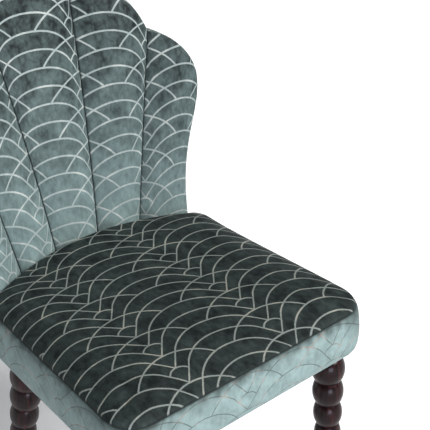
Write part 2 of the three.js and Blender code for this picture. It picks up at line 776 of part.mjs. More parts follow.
// A bow between two curves that both follow the back's plan.
function bowedShape(half, frontY, rearY) {
  const bow = BACK_SAG * (half / SAG_REACH) ** 2;
  const shape = new THREE.Shape();
  shape.moveTo(-half, frontY(half));
  shape.quadraticCurveTo(0, frontY(0) + bow, half, frontY(half));
  shape.lineTo(half, rearY(half));
  shape.quadraticCurveTo(0, rearY(0) + bow, -half, rearY(half));
  return shape;
}

function backBoltRod(place, from, to, radius) {
  const z = SEAT_HEIGHT + place.up;
  return rod(new THREE.Vector3(place.x, from, z), new THREE.Vector3(place.x, to, z), radius);
}

// The bolt heads bear on flats, cut square to the bolts on the inside of the rear rail.
const planSlope = 2 * BACK_SAG * UPRIGHT_X / SAG_REACH ** 2;
const boltSeatY = railFrontY(UPRIGHT_X) + BOLT_FLANGE * planSlope;
const boltTipY = backY(UPRIGHT_X, 0) + frameFront + BACK_BOLT_IN_UPRIGHT;

function cutBolts(geometry) {
  return cutAway(geometry, boltPlaces.map((place) => (
    backBoltRod(place, boltSeatY - OVERRUN, boltTipY + GAP, boreRadius(BACK_BOLT_DIAMETER)))));
}

addPiece('seat_rail_rear', 'beech', cutBolts(cutAway(
  prism(bowedShape(REAR_RAIL_HALF, railFrontY, railRearY), FRAME_BOTTOM, FRAME_TOP),
  boltPlaces.map((place) => backBoltRod(
    place, boltSeatY - OVERRUN, boltSeatY, boreRadius(BOLT_FLANGE))))));

const innerSideX = (y) => frameSideX(y) - RAIL_THICKNESS;

// Webbing, hessian and foam

const strapMargin = WEBBING_THICKNESS * 2;

function longStrap(i) {
  const reach = postRearX - WEBBING_WIDTH;
  const x = THREE.MathUtils.lerp(-reach, reach, i / (LONG_STRAPS - 1));
  const rear = railRearY(Math.abs(x) + WEBBING_WIDTH / 2) - strapMargin;
  return boxBetween(
    new THREE.Vector3(x - WEBBING_WIDTH / 2, FRAME_INSET + strapMargin, FRAME_TOP + GAP),
    new THREE.Vector3(x + WEBBING_WIDTH / 2, rear, FRAME_TOP + GAP + WEBBING_THICKNESS));
}

function crossStrap(i) {
  const first = postFrontY + WEBBING_WIDTH / 2;
  const last = postRearY - WEBBING_WIDTH / 2;
  const y = THREE.MathUtils.lerp(first, last, i / (CROSS_STRAPS - 1));
  const half = innerSideX(y + WEBBING_WIDTH / 2) + RAIL_THICKNESS - strapMargin;
  const bottom = FRAME_TOP + 2 * GAP + WEBBING_THICKNESS;
  return boxBetween(
    new THREE.Vector3(-half, y - WEBBING_WIDTH / 2, bottom),
    new THREE.Vector3(half, y + WEBBING_WIDTH / 2, bottom + WEBBING_THICKNESS));
}

for (let i = 0; i < LONG_STRAPS; i += 1) {
  addPiece(`webbing_long_${i + 1}`, 'webbing', longStrap(i));
}

for (let i = 0; i < CROSS_STRAPS; i += 1) {
  addPiece(`webbing_cross_${i + 1}`, 'webbing', crossStrap(i));
}

addPiece('seat_hessian', 'hessian',
  prism(seatShape(FRAME_INSET), WEBBING_TOP + GAP, HESSIAN_TOP));

const rearLift = (y) => SEAT_REAR_LIFT * Math.max(y / SEAT_DEPTH, 0) ** REAR_LIFT_POWER;

// Points round the seat's plan, close together only where it curves.
function seatEdge(inset) {
  return seatShape(inset).curves.flatMap((curve) => {
    let steps = CORNER_STEPS;
    if (curve.isLineCurve) {
      steps = STRAIGHT_STEPS;
    }
    if (curve.isQuadraticBezierCurve) {
      steps = REAR_EDGE_STEPS;
    }
    return curve.getPoints(steps).slice(0, steps);
  });
}

// Rings over the seat's plan, each a smaller copy of its edge about the seat's middle.
function seatQuads(inset) {
  const edge = seatEdge(inset);
  const sides = edge.length;
  const middle = new THREE.Vector2(0, SEAT_DEPTH / 2);
  const corner = (i, ring) => {
    const share = CROWN_RING_SHARES[ring];
    const p = middle.clone().lerp(edge[i % sides], share);
    return { u: p.x, v: p.y, share };
  };
  const quads = [];
  for (let ring = 0; ring + 1 < CROWN_RING_SHARES.length; ring += 1) {
    for (let i = 0; i < sides; i += 1) {
      quads.push([corner(i, ring), corner(i, ring + 1), corner(i + 1, ring + 1), corner(i + 1, ring)]);
    }
  }
  return quads;
}

function crownTop(corner) {
  return SEAT_HEIGHT + rearLift(corner.v) + SEAT_CROWN * (1 - corner.share ** CROWN_POWER);
}

addPiece('seat_foam', 'foam', slab(seatQuads(CLOTH + LAYER_GAP), (corner, side) => (
  new THREE.Vector3(corner.u, corner.v, side ? HESSIAN_TOP + GAP : crownTop(corner) - CLOTH - LAYER_GAP))));

// The crowned top panel of the seat, sewn to the border round its edge.
addPiece('seat_top_cover', 'velvet', slab(seatQuads(0), (corner, side) => (
  new THREE.Vector3(corner.u, corner.v, crownTop(corner) - side * CLOTH))));

// The border: one band round the front and sides, turned under the frame.
function borderSection(point, normal) {
  const top = SEAT_HEIGHT + rearLift(point.y) - CLOTH - GAP;
  const swell = BORDER_BULGE * (1 - Math.max(normal.y, 0));
  const foot = BORDER_BOTTOM;
  const profile = [
    [0, top], [swell, (top + foot) / 2], [swell / 2, foot + BORDER_FOOT_RADIUS],
    [-CLOTH, foot + CLOTH], [-FRAME_INSET, foot], [-BORDER_RETURN, foot],
    [-BORDER_RETURN, foot + CLOTH], [-FRAME_INSET, foot + CLOTH],
    [-2 * CLOTH, foot + 2 * CLOTH], [swell / 2 - CLOTH, foot + BORDER_FOOT_RADIUS],
    [swell - CLOTH, (top + foot) / 2], [-CLOTH, top],
  ];
  return profile.map(([out, z]) => new THREE.Vector3(
    point.x + normal.x * out, point.y + normal.y * out, z));
}

function borderPath() {
  const loop = seatEdge(0);
  const isRear = (p) => p.y > SEAT_DEPTH / 2 && Math.abs(p.x) < BORDER_END_X;
  const start = loop.findIndex((p, i) => isRear(loop.at(i - 1)) && !isRear(p));
  const turned = [...loop.slice(start), ...loop.slice(0, start)];
  const count = turned.filter((p) => !isRear(p)).length;
  return turned.slice(0, count).map((p, i) => {
    const before = turned.at(i - 1);
    const after = turned[(i + 1) % turned.length];
    const along = after.clone().sub(before).normalize();
    return { point: p, normal: new THREE.Vector2(along.y, -along.x) };
  });
}

addPiece('seat_border_cover', 'velvet',
  stripSkin(borderPath().map(({ point, normal }) => borderSection(point, normal))));

// The dust cover under the seat, with a hole round each leg.
function dustCoverShape() {
  const shape = seatShape(FRAME_INSET + GAP);
  for (const place of legPlaces) {
    const { top } = legAxis(place.isFront, place.sign);
    const hole = new THREE.Path();
    hole.absarc(top.x, top.y, LEG_TOP_DIAMETER / 2 + CLOTH, 0, 2 * Math.PI, true);
    shape.holes.push(hole);
  }
  return shape;
}

addPiece('seat_dust_cover', 'lining', prism(
  dustCoverShape(), BORDER_BOTTOM - GAP - LINING, BORDER_BOTTOM - GAP));

// Legs: turned bobbins that shorten and taper towards the foot

const bobbinWeight = (i) => 1 - BOBBIN_SHORTEN_SHARE * i;

function bobbinRadius(i) {
  return THREE.MathUtils.lerp(LEG_TOP_DIAMETER, LEG_FOOT_DIAMETER, (i + 1) / BOBBINS) / 2;
}

// Radii down the leg, from the widest place of the half bobbin at its top.
function legProfile(length) {
  let total = TOP_BOBBIN_SHARE;
  for (let i = 0; i < BOBBINS; i += 1) {
    total += bobbinWeight(i);
  }
  const unit = length / total;
  const round = (radius, share) => radius * Math.sqrt(1 - (share / BOBBIN_FULLNESS_SHARE) ** 2);
  const bore = boreRadius(BOLT_DIAMETER);
  const topRadius = LEG_TOP_DIAMETER / 2;
  const points = [
    new THREE.Vector2(0, -BOLT_IN_LEG), new THREE.Vector2(bore, -BOLT_IN_LEG),
    new THREE.Vector2(bore, OVERRUN), new THREE.Vector2(topRadius, OVERRUN),
    new THREE.Vector2(topRadius, 0),
  ];
  const upperShares = BOBBIN_RING_SHARES.slice(2);
  for (const share of upperShares) {
    points.push(new THREE.Vector2(round(topRadius, share), -unit * TOP_BOBBIN_SHARE * share));
  }
  let y = -unit * TOP_BOBBIN_SHARE;
  points.push(new THREE.Vector2(round(bobbinRadius(0), 1), y));
  for (let i = 0; i < BOBBINS; i += 1) {
    const half = unit * bobbinWeight(i) / 2;
    for (const share of BOBBIN_RING_SHARES) {
      points.push(new THREE.Vector2(round(bobbinRadius(i), share), y - half * (1 + share)));
    }
    y -= 2 * half;
    const neck = round((bobbinRadius(i) + bobbinRadius(Math.min(i + 1, BOBBINS - 1))) / 2, 1);
    points.push(new THREE.Vector2(neck, y));
  }
  const foot = points[points.length - 1].x;
  points.push(new THREE.Vector2(foot, y - OVERRUN), new THREE.Vector2(0, y - OVERRUN));
  return points;
}

function placeOnAxis(geometry, axis) {
  const turn = new THREE.Quaternion().setFromUnitVectors(
    new THREE.Vector3(0, -1, 0), axis.down);
  return geometry.applyQuaternion(turn).translate(axis.top.x, axis.top.y, axis.top.z);
}

// The top and the foot are sawn level, so that a raked leg sits flat.
function leg(axis) {
  const turned = placeOnAxis(new THREE.LatheGeometry(legProfile(axis.length), LEG_SIDES), axis);
  const reach = 2 * LEG_TOP_DIAMETER;
  const saw = (centre, bottom, top) => boxBetween(
    new THREE.Vector3(centre.x - reach, centre.y - reach, bottom),
    new THREE.Vector3(centre.x + reach, centre.y + reach, top));
  return cutAway(turned, [
    saw(axis.top, LEG_TOP, LEG_TOP + reach),
    saw(axis.foot, GLIDE_HEIGHT + GAP - reach, GLIDE_HEIGHT + GAP),
  ]);
}

function hangerBolt(axis) {
  const at = (up) => axis.top.clone().addScaledVector(axis.down, -up);
  return rod(at(GAP - BOLT_IN_LEG), at(BOLT_IN_POST), BOLT_DIAMETER / 2);
}

function threadedInsert(axis) {
  const inner = boreRadius(BOLT_DIAMETER);
  const outer = INSERT_DIAMETER / 2;
  const low = INSERT_DEPTH;
  const high = INSERT_DEPTH + INSERT_LENGTH;
  const profile = [
    new THREE.Vector2(inner, low), new THREE.Vector2(outer, low),
    new THREE.Vector2(outer, high), new THREE.Vector2(inner, high), new THREE.Vector2(inner, low),
  ];
  return placeOnAxis(new THREE.LatheGeometry(profile, ROUND_SIDES), axis);
}

function glide(axis) {
  const radius = GLIDE_DIAMETER / 2;
  const chamfer = GLIDE_HEIGHT * GLIDE_CHAMFER_SHARE;
  const profile = [
    new THREE.Vector2(0, 0), new THREE.Vector2(radius - chamfer, 0),
    new THREE.Vector2(radius, chamfer), new THREE.Vector2(radius, GLIDE_HEIGHT),
    new THREE.Vector2(0, GLIDE_HEIGHT),
  ];
  return new THREE.LatheGeometry(profile, GLIDE_SIDES)
    .rotateX(Math.PI / 2)
    .translate(axis.foot.x, axis.foot.y, 0);
}

for (const place of legPlaces) {
  const axis = legAxis(place.isFront, place.sign);
  addPiece(`leg_${place.name}`, 'darkWood', leg(axis));
  addPiece(`glide_${place.name}`, 'nylon', glide(axis));
  addPiece(`leg_bolt_${place.name}`, 'steel', hangerBolt(axis));
  addPiece(`leg_insert_${place.name}`, 'steel', threadedInsert(axis));
}

// The back's frame

addPiece('back_panel', 'plywood', cutBolts(backLayer(PANEL_INSET, () => PANEL_FRONT, () => PANEL_REAR)));

const uprightUps = [BACK_BOTTOM_UP];
for (let i = 0; i <= LAYER_UP; i += 1) {
  uprightUps.push(UPRIGHT_UP * i / LAYER_UP);
}

for (const sign of [-1, 1]) {
  const left = sign * UPRIGHT_X - UPRIGHT_WIDTH / 2;
  const member = backMember(left, left + UPRIGHT_WIDTH, uprightUps, 2);
  addPiece(`back_upright_${sign < 0 ? 'left' : 'right'}`, 'beech', cutBolts(member));
}

const braceHalf = UPRIGHT_X - UPRIGHT_WIDTH / 2 - GAP;
const braces = { lower: BACK_BOTTOM_UP, upper: UPRIGHT_UP - BRACE_HEIGHT };
for (const [name, low] of Object.entries(braces)) {
  addPiece(`back_brace_${name}`, 'beech',
    backMember(-braceHalf, braceHalf, [low, low + BRACE_HEIGHT], LOBE_ACROSS));
}

// Flanged bolts hold the back to the rear rail

function backBolt(place) {
  const seat = boltSeatY - GAP;
  const radius = BACK_BOLT_DIAMETER / 2;
  const profile = [
    new THREE.Vector2(0, seat - BOLT_HEAD_HEIGHT),
    new THREE.Vector2(BOLT_HEAD / 2, seat - BOLT_HEAD_HEIGHT),
    new THREE.Vector2(BOLT_HEAD / 2, seat - BOLT_FLANGE_THICKNESS),
    new THREE.Vector2(BOLT_FLANGE / 2, seat - BOLT_FLANGE_THICKNESS),
    new THREE.Vector2(BOLT_FLANGE / 2, seat),
    new THREE.Vector2(radius, seat), new THREE.Vector2(radius, boltTipY),
    new THREE.Vector2(0, boltTipY),
  ];
  return new THREE.LatheGeometry(profile, ROUND_SIDES).translate(place.x, 0, SEAT_HEIGHT + place.up);
}

for (const place of boltPlaces) {
  addPiece(`back_bolt_${place.name}`, 'steel', backBolt(place));
}

// The back's upholstery

for (const lobe of lobes) {
  addPiece(`lobe_foam_${lobe.name}`, 'foam', lobeFoam(lobe));
  addPiece(`lobe_cover_${lobe.name}`, 'velvet', lobeCover(lobe));
}

addPiece('back_edge_padding', 'wadding', edgeStrip(
  CLOTH + EDGE_GAP / 2, PANEL_INSET - EDGE_GAP, () => PANEL_FRONT, frameRear));
addPiece('back_wadding', 'wadding', backLayer(
  CLOTH + EDGE_GAP, (up) => waddingFront(up) + GAP, (up) => waddingFront(up) + BACK_WADDING + GAP));
addPiece('outside_back_cover', 'velvet', backLayer(0, outerClothFront, outerClothRear));

// The edge band runs round the scallops, and below the seam it closes on the seat border.
const bandFront = (up) => (up < 0 ? VALLEY - LOBE_BULGE_FOOT + LAYER_GAP : VALLEY + CLOTH + LAYER_GAP + GAP);
addPiece('back_edge_band', 'velvet', edgeStrip(
  0, CLOTH, bandFront, (up) => outerClothFront(up) - LAYER_GAP));

// A strip of lining closes the bottom of the back.
addPiece('back_bottom_lining', 'lining', prism(
  bowedShape(BACK_FOOT_HALF - CLOTH - GAP,
    (x) => railFrontY(x) + FRAME_INSET, (x) => backY(x, 0) + outerClothFront(0) - LAYER_GAP),
  FRAME_BOTTOM - GAP - LINING, FRAME_BOTTOM - GAP));

// The chair stands centred on the origin.
const bounds = new THREE.Box3().setFromObject(chair, true);
chair.position.y = -(bounds.min.y + bounds.max.y) / 2;

export default chair;
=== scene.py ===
import math
import bmesh
import bpy
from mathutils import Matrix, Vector, noise


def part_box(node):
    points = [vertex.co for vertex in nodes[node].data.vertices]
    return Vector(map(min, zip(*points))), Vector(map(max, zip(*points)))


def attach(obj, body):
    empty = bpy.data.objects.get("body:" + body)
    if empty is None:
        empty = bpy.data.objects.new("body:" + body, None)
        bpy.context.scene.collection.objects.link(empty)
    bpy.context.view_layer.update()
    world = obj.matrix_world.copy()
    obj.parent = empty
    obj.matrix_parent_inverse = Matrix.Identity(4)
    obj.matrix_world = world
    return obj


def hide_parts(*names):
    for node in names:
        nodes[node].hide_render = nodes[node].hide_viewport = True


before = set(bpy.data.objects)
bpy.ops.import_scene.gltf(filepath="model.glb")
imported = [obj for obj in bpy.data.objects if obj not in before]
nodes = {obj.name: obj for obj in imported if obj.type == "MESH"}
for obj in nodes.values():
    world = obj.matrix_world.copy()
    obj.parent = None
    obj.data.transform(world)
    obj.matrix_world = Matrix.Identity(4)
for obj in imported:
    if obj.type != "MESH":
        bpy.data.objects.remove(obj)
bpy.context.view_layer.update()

scene = bpy.context.scene


# Seat frame: four corner posts and four rails of steamed beech, planed, glued and
# sealed inside the upholstery. The CAD pieces stay and take the timber's finish.
def linear(colour):
    """An sRGB hex colour as the linear colour that a node takes."""
    parts = [int(colour[i:i + 2], 16) / 255 for i in (1, 3, 5)]
    return [p / 12.92 if p <= 0.04045 else ((p + 0.055) / 1.055) ** 2.4 for p in parts] + [1]


def add(tree, kind, settings):
    """Adds a node. Settings are its sockets, by name or number, and its properties. Each has a
    value, the output of another node, or a node for that node's first output."""
    node = tree.nodes.new("ShaderNode" + kind)
    for name, value in settings.items():
        if name == "stops":
            stops = node.color_ramp.elements
            stops.remove(stops[0])
            for i, (place, colour) in enumerate(value):
                stop = stops[0] if i == 0 else stops.new(place)
                stop.position, stop.color = place, linear(colour)
        elif isinstance(value, bpy.types.Node):
            tree.links.new(value.outputs[0], node.inputs[name])
        elif isinstance(value, bpy.types.NodeSocket):
            tree.links.new(value, node.inputs[name])
        elif isinstance(name, int) or name in node.inputs:
            node.inputs[name].default_value = value
        else:
            setattr(node, name, value)
    return node


def new_finish(name):
    """An empty material of that name, and its tree."""
    finish = bpy.data.materials.new(name)
    finish.use_nodes = True
    finish.node_tree.nodes.clear()
    return finish, finish.node_tree


def timber(name, colours, grain, roughness, shine=0.24, coat=0.0, coat_roughness=0.12, lathe_lines=0.0):
    """Wood grain that runs along Z. grain is the spacing of the growth lines in metres."""
    finish, tree = new_finish(name)
    place = add(tree, "TexCoord", {}).outputs["Object"]
    along_grain = add(tree, "Mapping", {"Scale": (1, 1, 0.06), "Vector": place})
    figure = add(tree, "TexNoise", {
        "Scale": 0.4 / grain, "Detail": 5, "Roughness": 0.6, "Distortion": 0.8, "Vector": along_grain})
    pores = add(tree, "TexNoise", {"Scale": 3 / grain, "Detail": 2, "Vector": along_grain})
    both = add(tree, "Math", {"operation": "MULTIPLY_ADD", 0: pores, 1: 0.3, 2: figure})
    shade = add(tree, "ValToRGB", {
        "stops": [(0.42, colours[0]), (0.66, colours[1]), (0.9, colours[2])], "Fac": both})
    turned = add(tree, "SeparateXYZ", {"Vector": place})
    # The gouge leaves rings 1.6 mm apart.
    ring_angle = add(tree, "Math", {
        "operation": "MULTIPLY", 0: turned.outputs["Z"], 1: 2 * math.pi / 0.0016})
    rings = add(tree, "Math", {"operation": "SINE", 0: ring_angle})
    height = add(tree, "Math", {"operation": "MULTIPLY_ADD", 0: rings, 1: lathe_lines, 2: pores})
    relief = add(tree, "Bump", {"Strength": 0.12, "Distance": 0.0004, "Height": height})
    gloss = add(tree, "MapRange", {
        "To Min": roughness - 0.06, "To Max": roughness + 0.1, "Value": figure})
    wood = add(tree, "BsdfPrincipled", {
        "Specular IOR Level": shine, "Coat Weight": coat, "Coat Roughness": coat_roughness,
        "Base Color": shade, "Roughness": gloss, "Normal": relief})
    add(tree, "OutputMaterial", {"Surface": wood})
    return finish


def dress(finish, *starts):
    """Gives the finish to every carried-over piece whose name starts so."""
    for name in nodes:
        if name.startswith(starts):
            nodes[name].data.materials.clear()
            nodes[name].data.materials.append(finish)


# Planed beech is pale pink-brown, with short dark flecks and a dull, open face.
beech = timber("planed_beech", ("#a87f55", "#c79f73", "#d9b88f"), 0.006, 0.6)
dress(beech, "corner_post_", "seat_rail_", "back_upright_", "back_brace_")


# Back panel: birch plywood, bent to the back's barrel curve and drilled for the back
# bolts. Its rotary-cut veneer shows a broad soft figure on a pale yellow ground.
dress(timber("birch_plywood", ("#b99a6d", "#d2b78c", "#e0caa4"), 0.03, 0.65), "back_panel")


# Bolts and inserts: zinc-plated steel, thread-rolled and bright, four flanged bolts
# through the rear rail into the uprights, and a hanger bolt and insert for each leg.
def speckled(name, scale, dark, light, settings, gloss=None, dents=None):
    """A plain hard stuff with a fine speckle in its colour. gloss is the roughness in the speckle's
    low and high places, dents the depth in metres of its relief."""
    finish, tree = new_finish(name)
    place = add(tree, "TexCoord", {}).outputs["Object"]
    speck = add(tree, "TexNoise", {"Scale": scale, "Detail": 2, "Vector": place})
    shade = add(tree, "ValToRGB", {"stops": [(0.3, dark), (0.7, light)], "Fac": speck})
    settings = {"Base Color": shade, **settings}
    if gloss:
        settings["Roughness"] = add(tree, "MapRange", {
            "To Min": gloss[0], "To Max": gloss[1], "Value": speck})
    if dents:
        settings["Normal"] = add(tree, "Bump", {"Strength": 0.2, "Distance": dents, "Height": speck})
    surface = add(tree, "BsdfPrincipled", settings)
    add(tree, "OutputMaterial", {"Surface": surface})
    return finish


# Bright zinc, with a faint brushed drift in its gloss.
plated_steel = speckled("zinc_plated_steel", 900, "#a3a7ab", "#b9bdc2",
                        {"Metallic": 1.0}, gloss=(0.22, 0.42))
dress(plated_steel, "leg_bolt_", "leg_insert_", "back_bolt_")


# Seat webbing and hessian: jute straps tacked over the rails in both directions, and
# a loosely woven jute sheet over them that carries the foam.
def net(bm, across, upward):
    """Adds a flat net of quads; every point keeps its shares across and upward in a layer."""
    share = bm.verts.layers.float_vector.get("share") or bm.verts.layers.float_vector.new("share")
    points = bmesh.ops.create_grid(bm, x_segments=across, y_segments=upward, size=0.5)["verts"]
    for point in points:
        point[share] = (point.co.x + 0.5, point.co.y + 0.5, 0)
    return points, share


def lay_cloth(bm, cloth=lambda point: point.co.xy):
    """The cloth's own map, in metres of cloth: cloth(point) gives its place on the flat bolt."""
    layer = bm.loops.layers.uv.new("cloth")
    flat = {point: cloth(point) for point in bm.verts}
    for face in bm.faces:
        for loop in face.loops:
            loop[layer].uv = flat[loop.vert]


def finished(name, bm, finish, smooth=True):
    """The mesh as a piece with its faces outward, riding on the chair."""
    bmesh.ops.recalc_face_normals(bm, faces=bm.faces[:])
    for face in bm.faces:
        face.smooth = smooth
    mesh = bpy.data.meshes.new(name)
    bm.to_mesh(mesh)
    bm.free()
    mesh.materials.append(finish)
    piece = bpy.data.objects.new(name, mesh)
    scene.collection.objects.link(piece)
    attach(piece, "root")
    return piece


def jute(name, dark, light, thread):
    """Plain weave: over and under threads of that spacing, in metres of cloth."""
    finish, tree = new_finish(name)
    place = add(tree, "UVMap", {"uv_map": "cloth"})
    waves = []
    for direction in ("X", "Y"):
        waves.append(add(tree, "TexWave", {
            "bands_direction": direction, "wave_profile": "SIN", "Scale": 0.05 * 2 * math.pi / thread,
            "Distortion": 1.5, "Detail": 2, "Detail Scale": 3, "Vector": place}))
    woven = add(tree, "Math", {
        "operation": "MULTIPLY", 0: waves[0].outputs["Fac"], 1: waves[1].outputs["Fac"]})
    slubs = add(tree, "TexNoise", {"Scale": 120, "Detail": 3, "Vector": place})
    mixed = add(tree, "Math", {"operation": "MULTIPLY_ADD", 0: slubs, 1: 0.6, 2: woven})
    shade = add(tree, "ValToRGB", {"stops": [(0.25, dark), (0.8, light)], "Fac": mixed})
    relief = add(tree, "Bump", {"Strength": 0.5, "Distance": 0.0006, "Height": mixed})
    cloth = add(tree, "BsdfPrincipled", {
        "Roughness": 0.95, "Sheen Weight": 0.15, "Base Color": shade, "Normal": relief})
    add(tree, "OutputMaterial", {"Surface": cloth})
    return finish


# Jute is a dull straw brown with hairy, uneven threads, tight in webbing, open in hessian.
webbing_finish = jute("jute_webbing", "#57462c", "#9c8256", 0.0022)
hessian_finish = jute("jute_hessian", "#6d5534", "#b3935f", 0.0018)


# Each strap fills its CAD box.
for node in [name for name in nodes if name.startswith("webbing_")]:
    low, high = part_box(node)
    size = high - low
    bm = bmesh.new()
    points, share = net(bm, 12, 12)
    for point in points:
        s, t, _ = point[share]
        point.co = (low.x + size.x * s, low.y + size.y * t, high.z - 0.1 * size.z)
    lay_cloth(bm)
    bmesh.ops.solidify(bm, geom=bm.faces[:], thickness=0.8 * size.z)
    strap = finished("jute_" + node, bm, webbing_finish)
    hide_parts(node)


# Seat plan, shared by the hessian, the top, the border and the dust cover: a straight
# front, tapered sides, round corners, and a rear edge bowed like the back.
front_seam_y = -0.31624           # the seat's front seam in the chair's frame
seam_height = 0.455
seat_half_front, seat_half_rear, seat_depth = 0.2503, 0.2243, 0.443
back_bow, bow_half = 0.043, 0.2   # the back's foot bows this deep over this half width
seat_bow = back_bow * (seat_half_rear / bow_half) ** 2
front_corner, rear_corner = 0.050, 0.018
arc_pull = 0.5523                 # how far a cubic's handles reach along a quarter circle


def bezier(points, share):
    """The point of a cubic curve."""
    a, b, c, d = points
    rest = 1 - share
    return (a * rest ** 3 + b * (3 * rest * rest * share) + c * (3 * rest * share * share)
            + d * share ** 3)


def seat_plan(inset):
    """The right half of the plan as a front, a side and a rear line, parted in the middle of each corner."""
    half_front, half_rear = seat_half_front - inset, seat_half_rear - inset
    corner_y = seat_depth - seat_bow - inset
    round_front, round_rear = front_corner - inset, rear_corner - inset
    side = Vector((half_rear - half_front, corner_y - inset)).normalized()
    end_x = half_rear - round_rear
    end_y = seat_depth - inset - seat_bow * (end_x / half_rear) ** 2
    pull = 1 - arc_pull
    tip = Vector((half_front, inset))
    front = [tip - Vector((round_front, 0)), tip - Vector((round_front * pull, 0)),
             tip + side * round_front * pull, tip + side * round_front]
    tail = Vector((half_rear, corner_y))
    rear = [tail - side * round_rear, tail - side * round_rear * pull,
            Vector((half_rear - round_rear * pull, corner_y + (end_y - corner_y) * arc_pull)),
            Vector((end_x, end_y))]
    steps, bow_steps = 8, 24
    front_arc = [bezier(front, i / steps) for i in range(steps + 1)]
    rear_arc = [bezier(rear, i / steps) for i in range(steps + 1)]
    bowed = [Vector((end_x * i / bow_steps,
                     seat_depth - inset - seat_bow * (end_x * i / bow_steps / half_rear) ** 2))
             for i in range(bow_steps + 1)]
    middle = steps // 2
    return ([Vector((0, inset))] + front_arc[:middle + 1],
            front_arc[middle:] + rear_arc[:middle + 1],
            bowed[:-1] + rear_arc[middle:][::-1])


def along(line, share):
    """The point a share of the way along a line of points."""
    lengths = [(b - a).length for a, b in zip(line, line[1:])]
    left = share * sum(lengths)
    for a, b, length in zip(line, line[1:], lengths):
        if left <= length:
            return a.lerp(b, left / length)
        left -= length
    return line[-1].copy()


def blended(left, right, fore, aft, corners, s, t):
    """A point inside four curved sides, from its place on each of them and from their corners."""
    first, last = corners[0] * (1 - s) + corners[1] * s, corners[2] * (1 - s) + corners[3] * s
    blend = first * (1 - t) + last * t
    return left * (1 - s) + right * s + fore * (1 - t) + aft * t - blend


def seat_place(plan, s, t):
    """A point of the seat's plan from its shares across and back, by blending its four sides."""
    front, side, rear = plan
    turn = 1 if s >= 0.5 else -1
    fore, aft = along(front, abs(2 * s - 1)), along(rear, abs(2 * s - 1))
    flank = along(side, t)
    fore.x, aft.x = fore.x * turn, aft.x * turn
    corners = [Vector((-side[0].x, side[0].y)), side[0], Vector((-side[-1].x, side[-1].y)), side[-1]]
    return blended(Vector((-flank.x, flank.y)), flank, fore, aft, corners, s, t)


hessian_plan = seat_plan(0.005)
hessian_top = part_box("seat_hessian")[1].z
bm = bmesh.new()
points, share = net(bm, 40, 40)
for point in points:
    x, y = seat_place(hessian_plan, point[share].x, point[share].y)
    point.co = (x, front_seam_y + y, hessian_top - 0.0001)
lay_cloth(bm)
bmesh.ops.solidify(bm, geom=bm.faces[:], thickness=0.0008)
hessian = finished("jute_hessian_sheet", bm, hessian_finish)
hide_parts("seat_hessian")


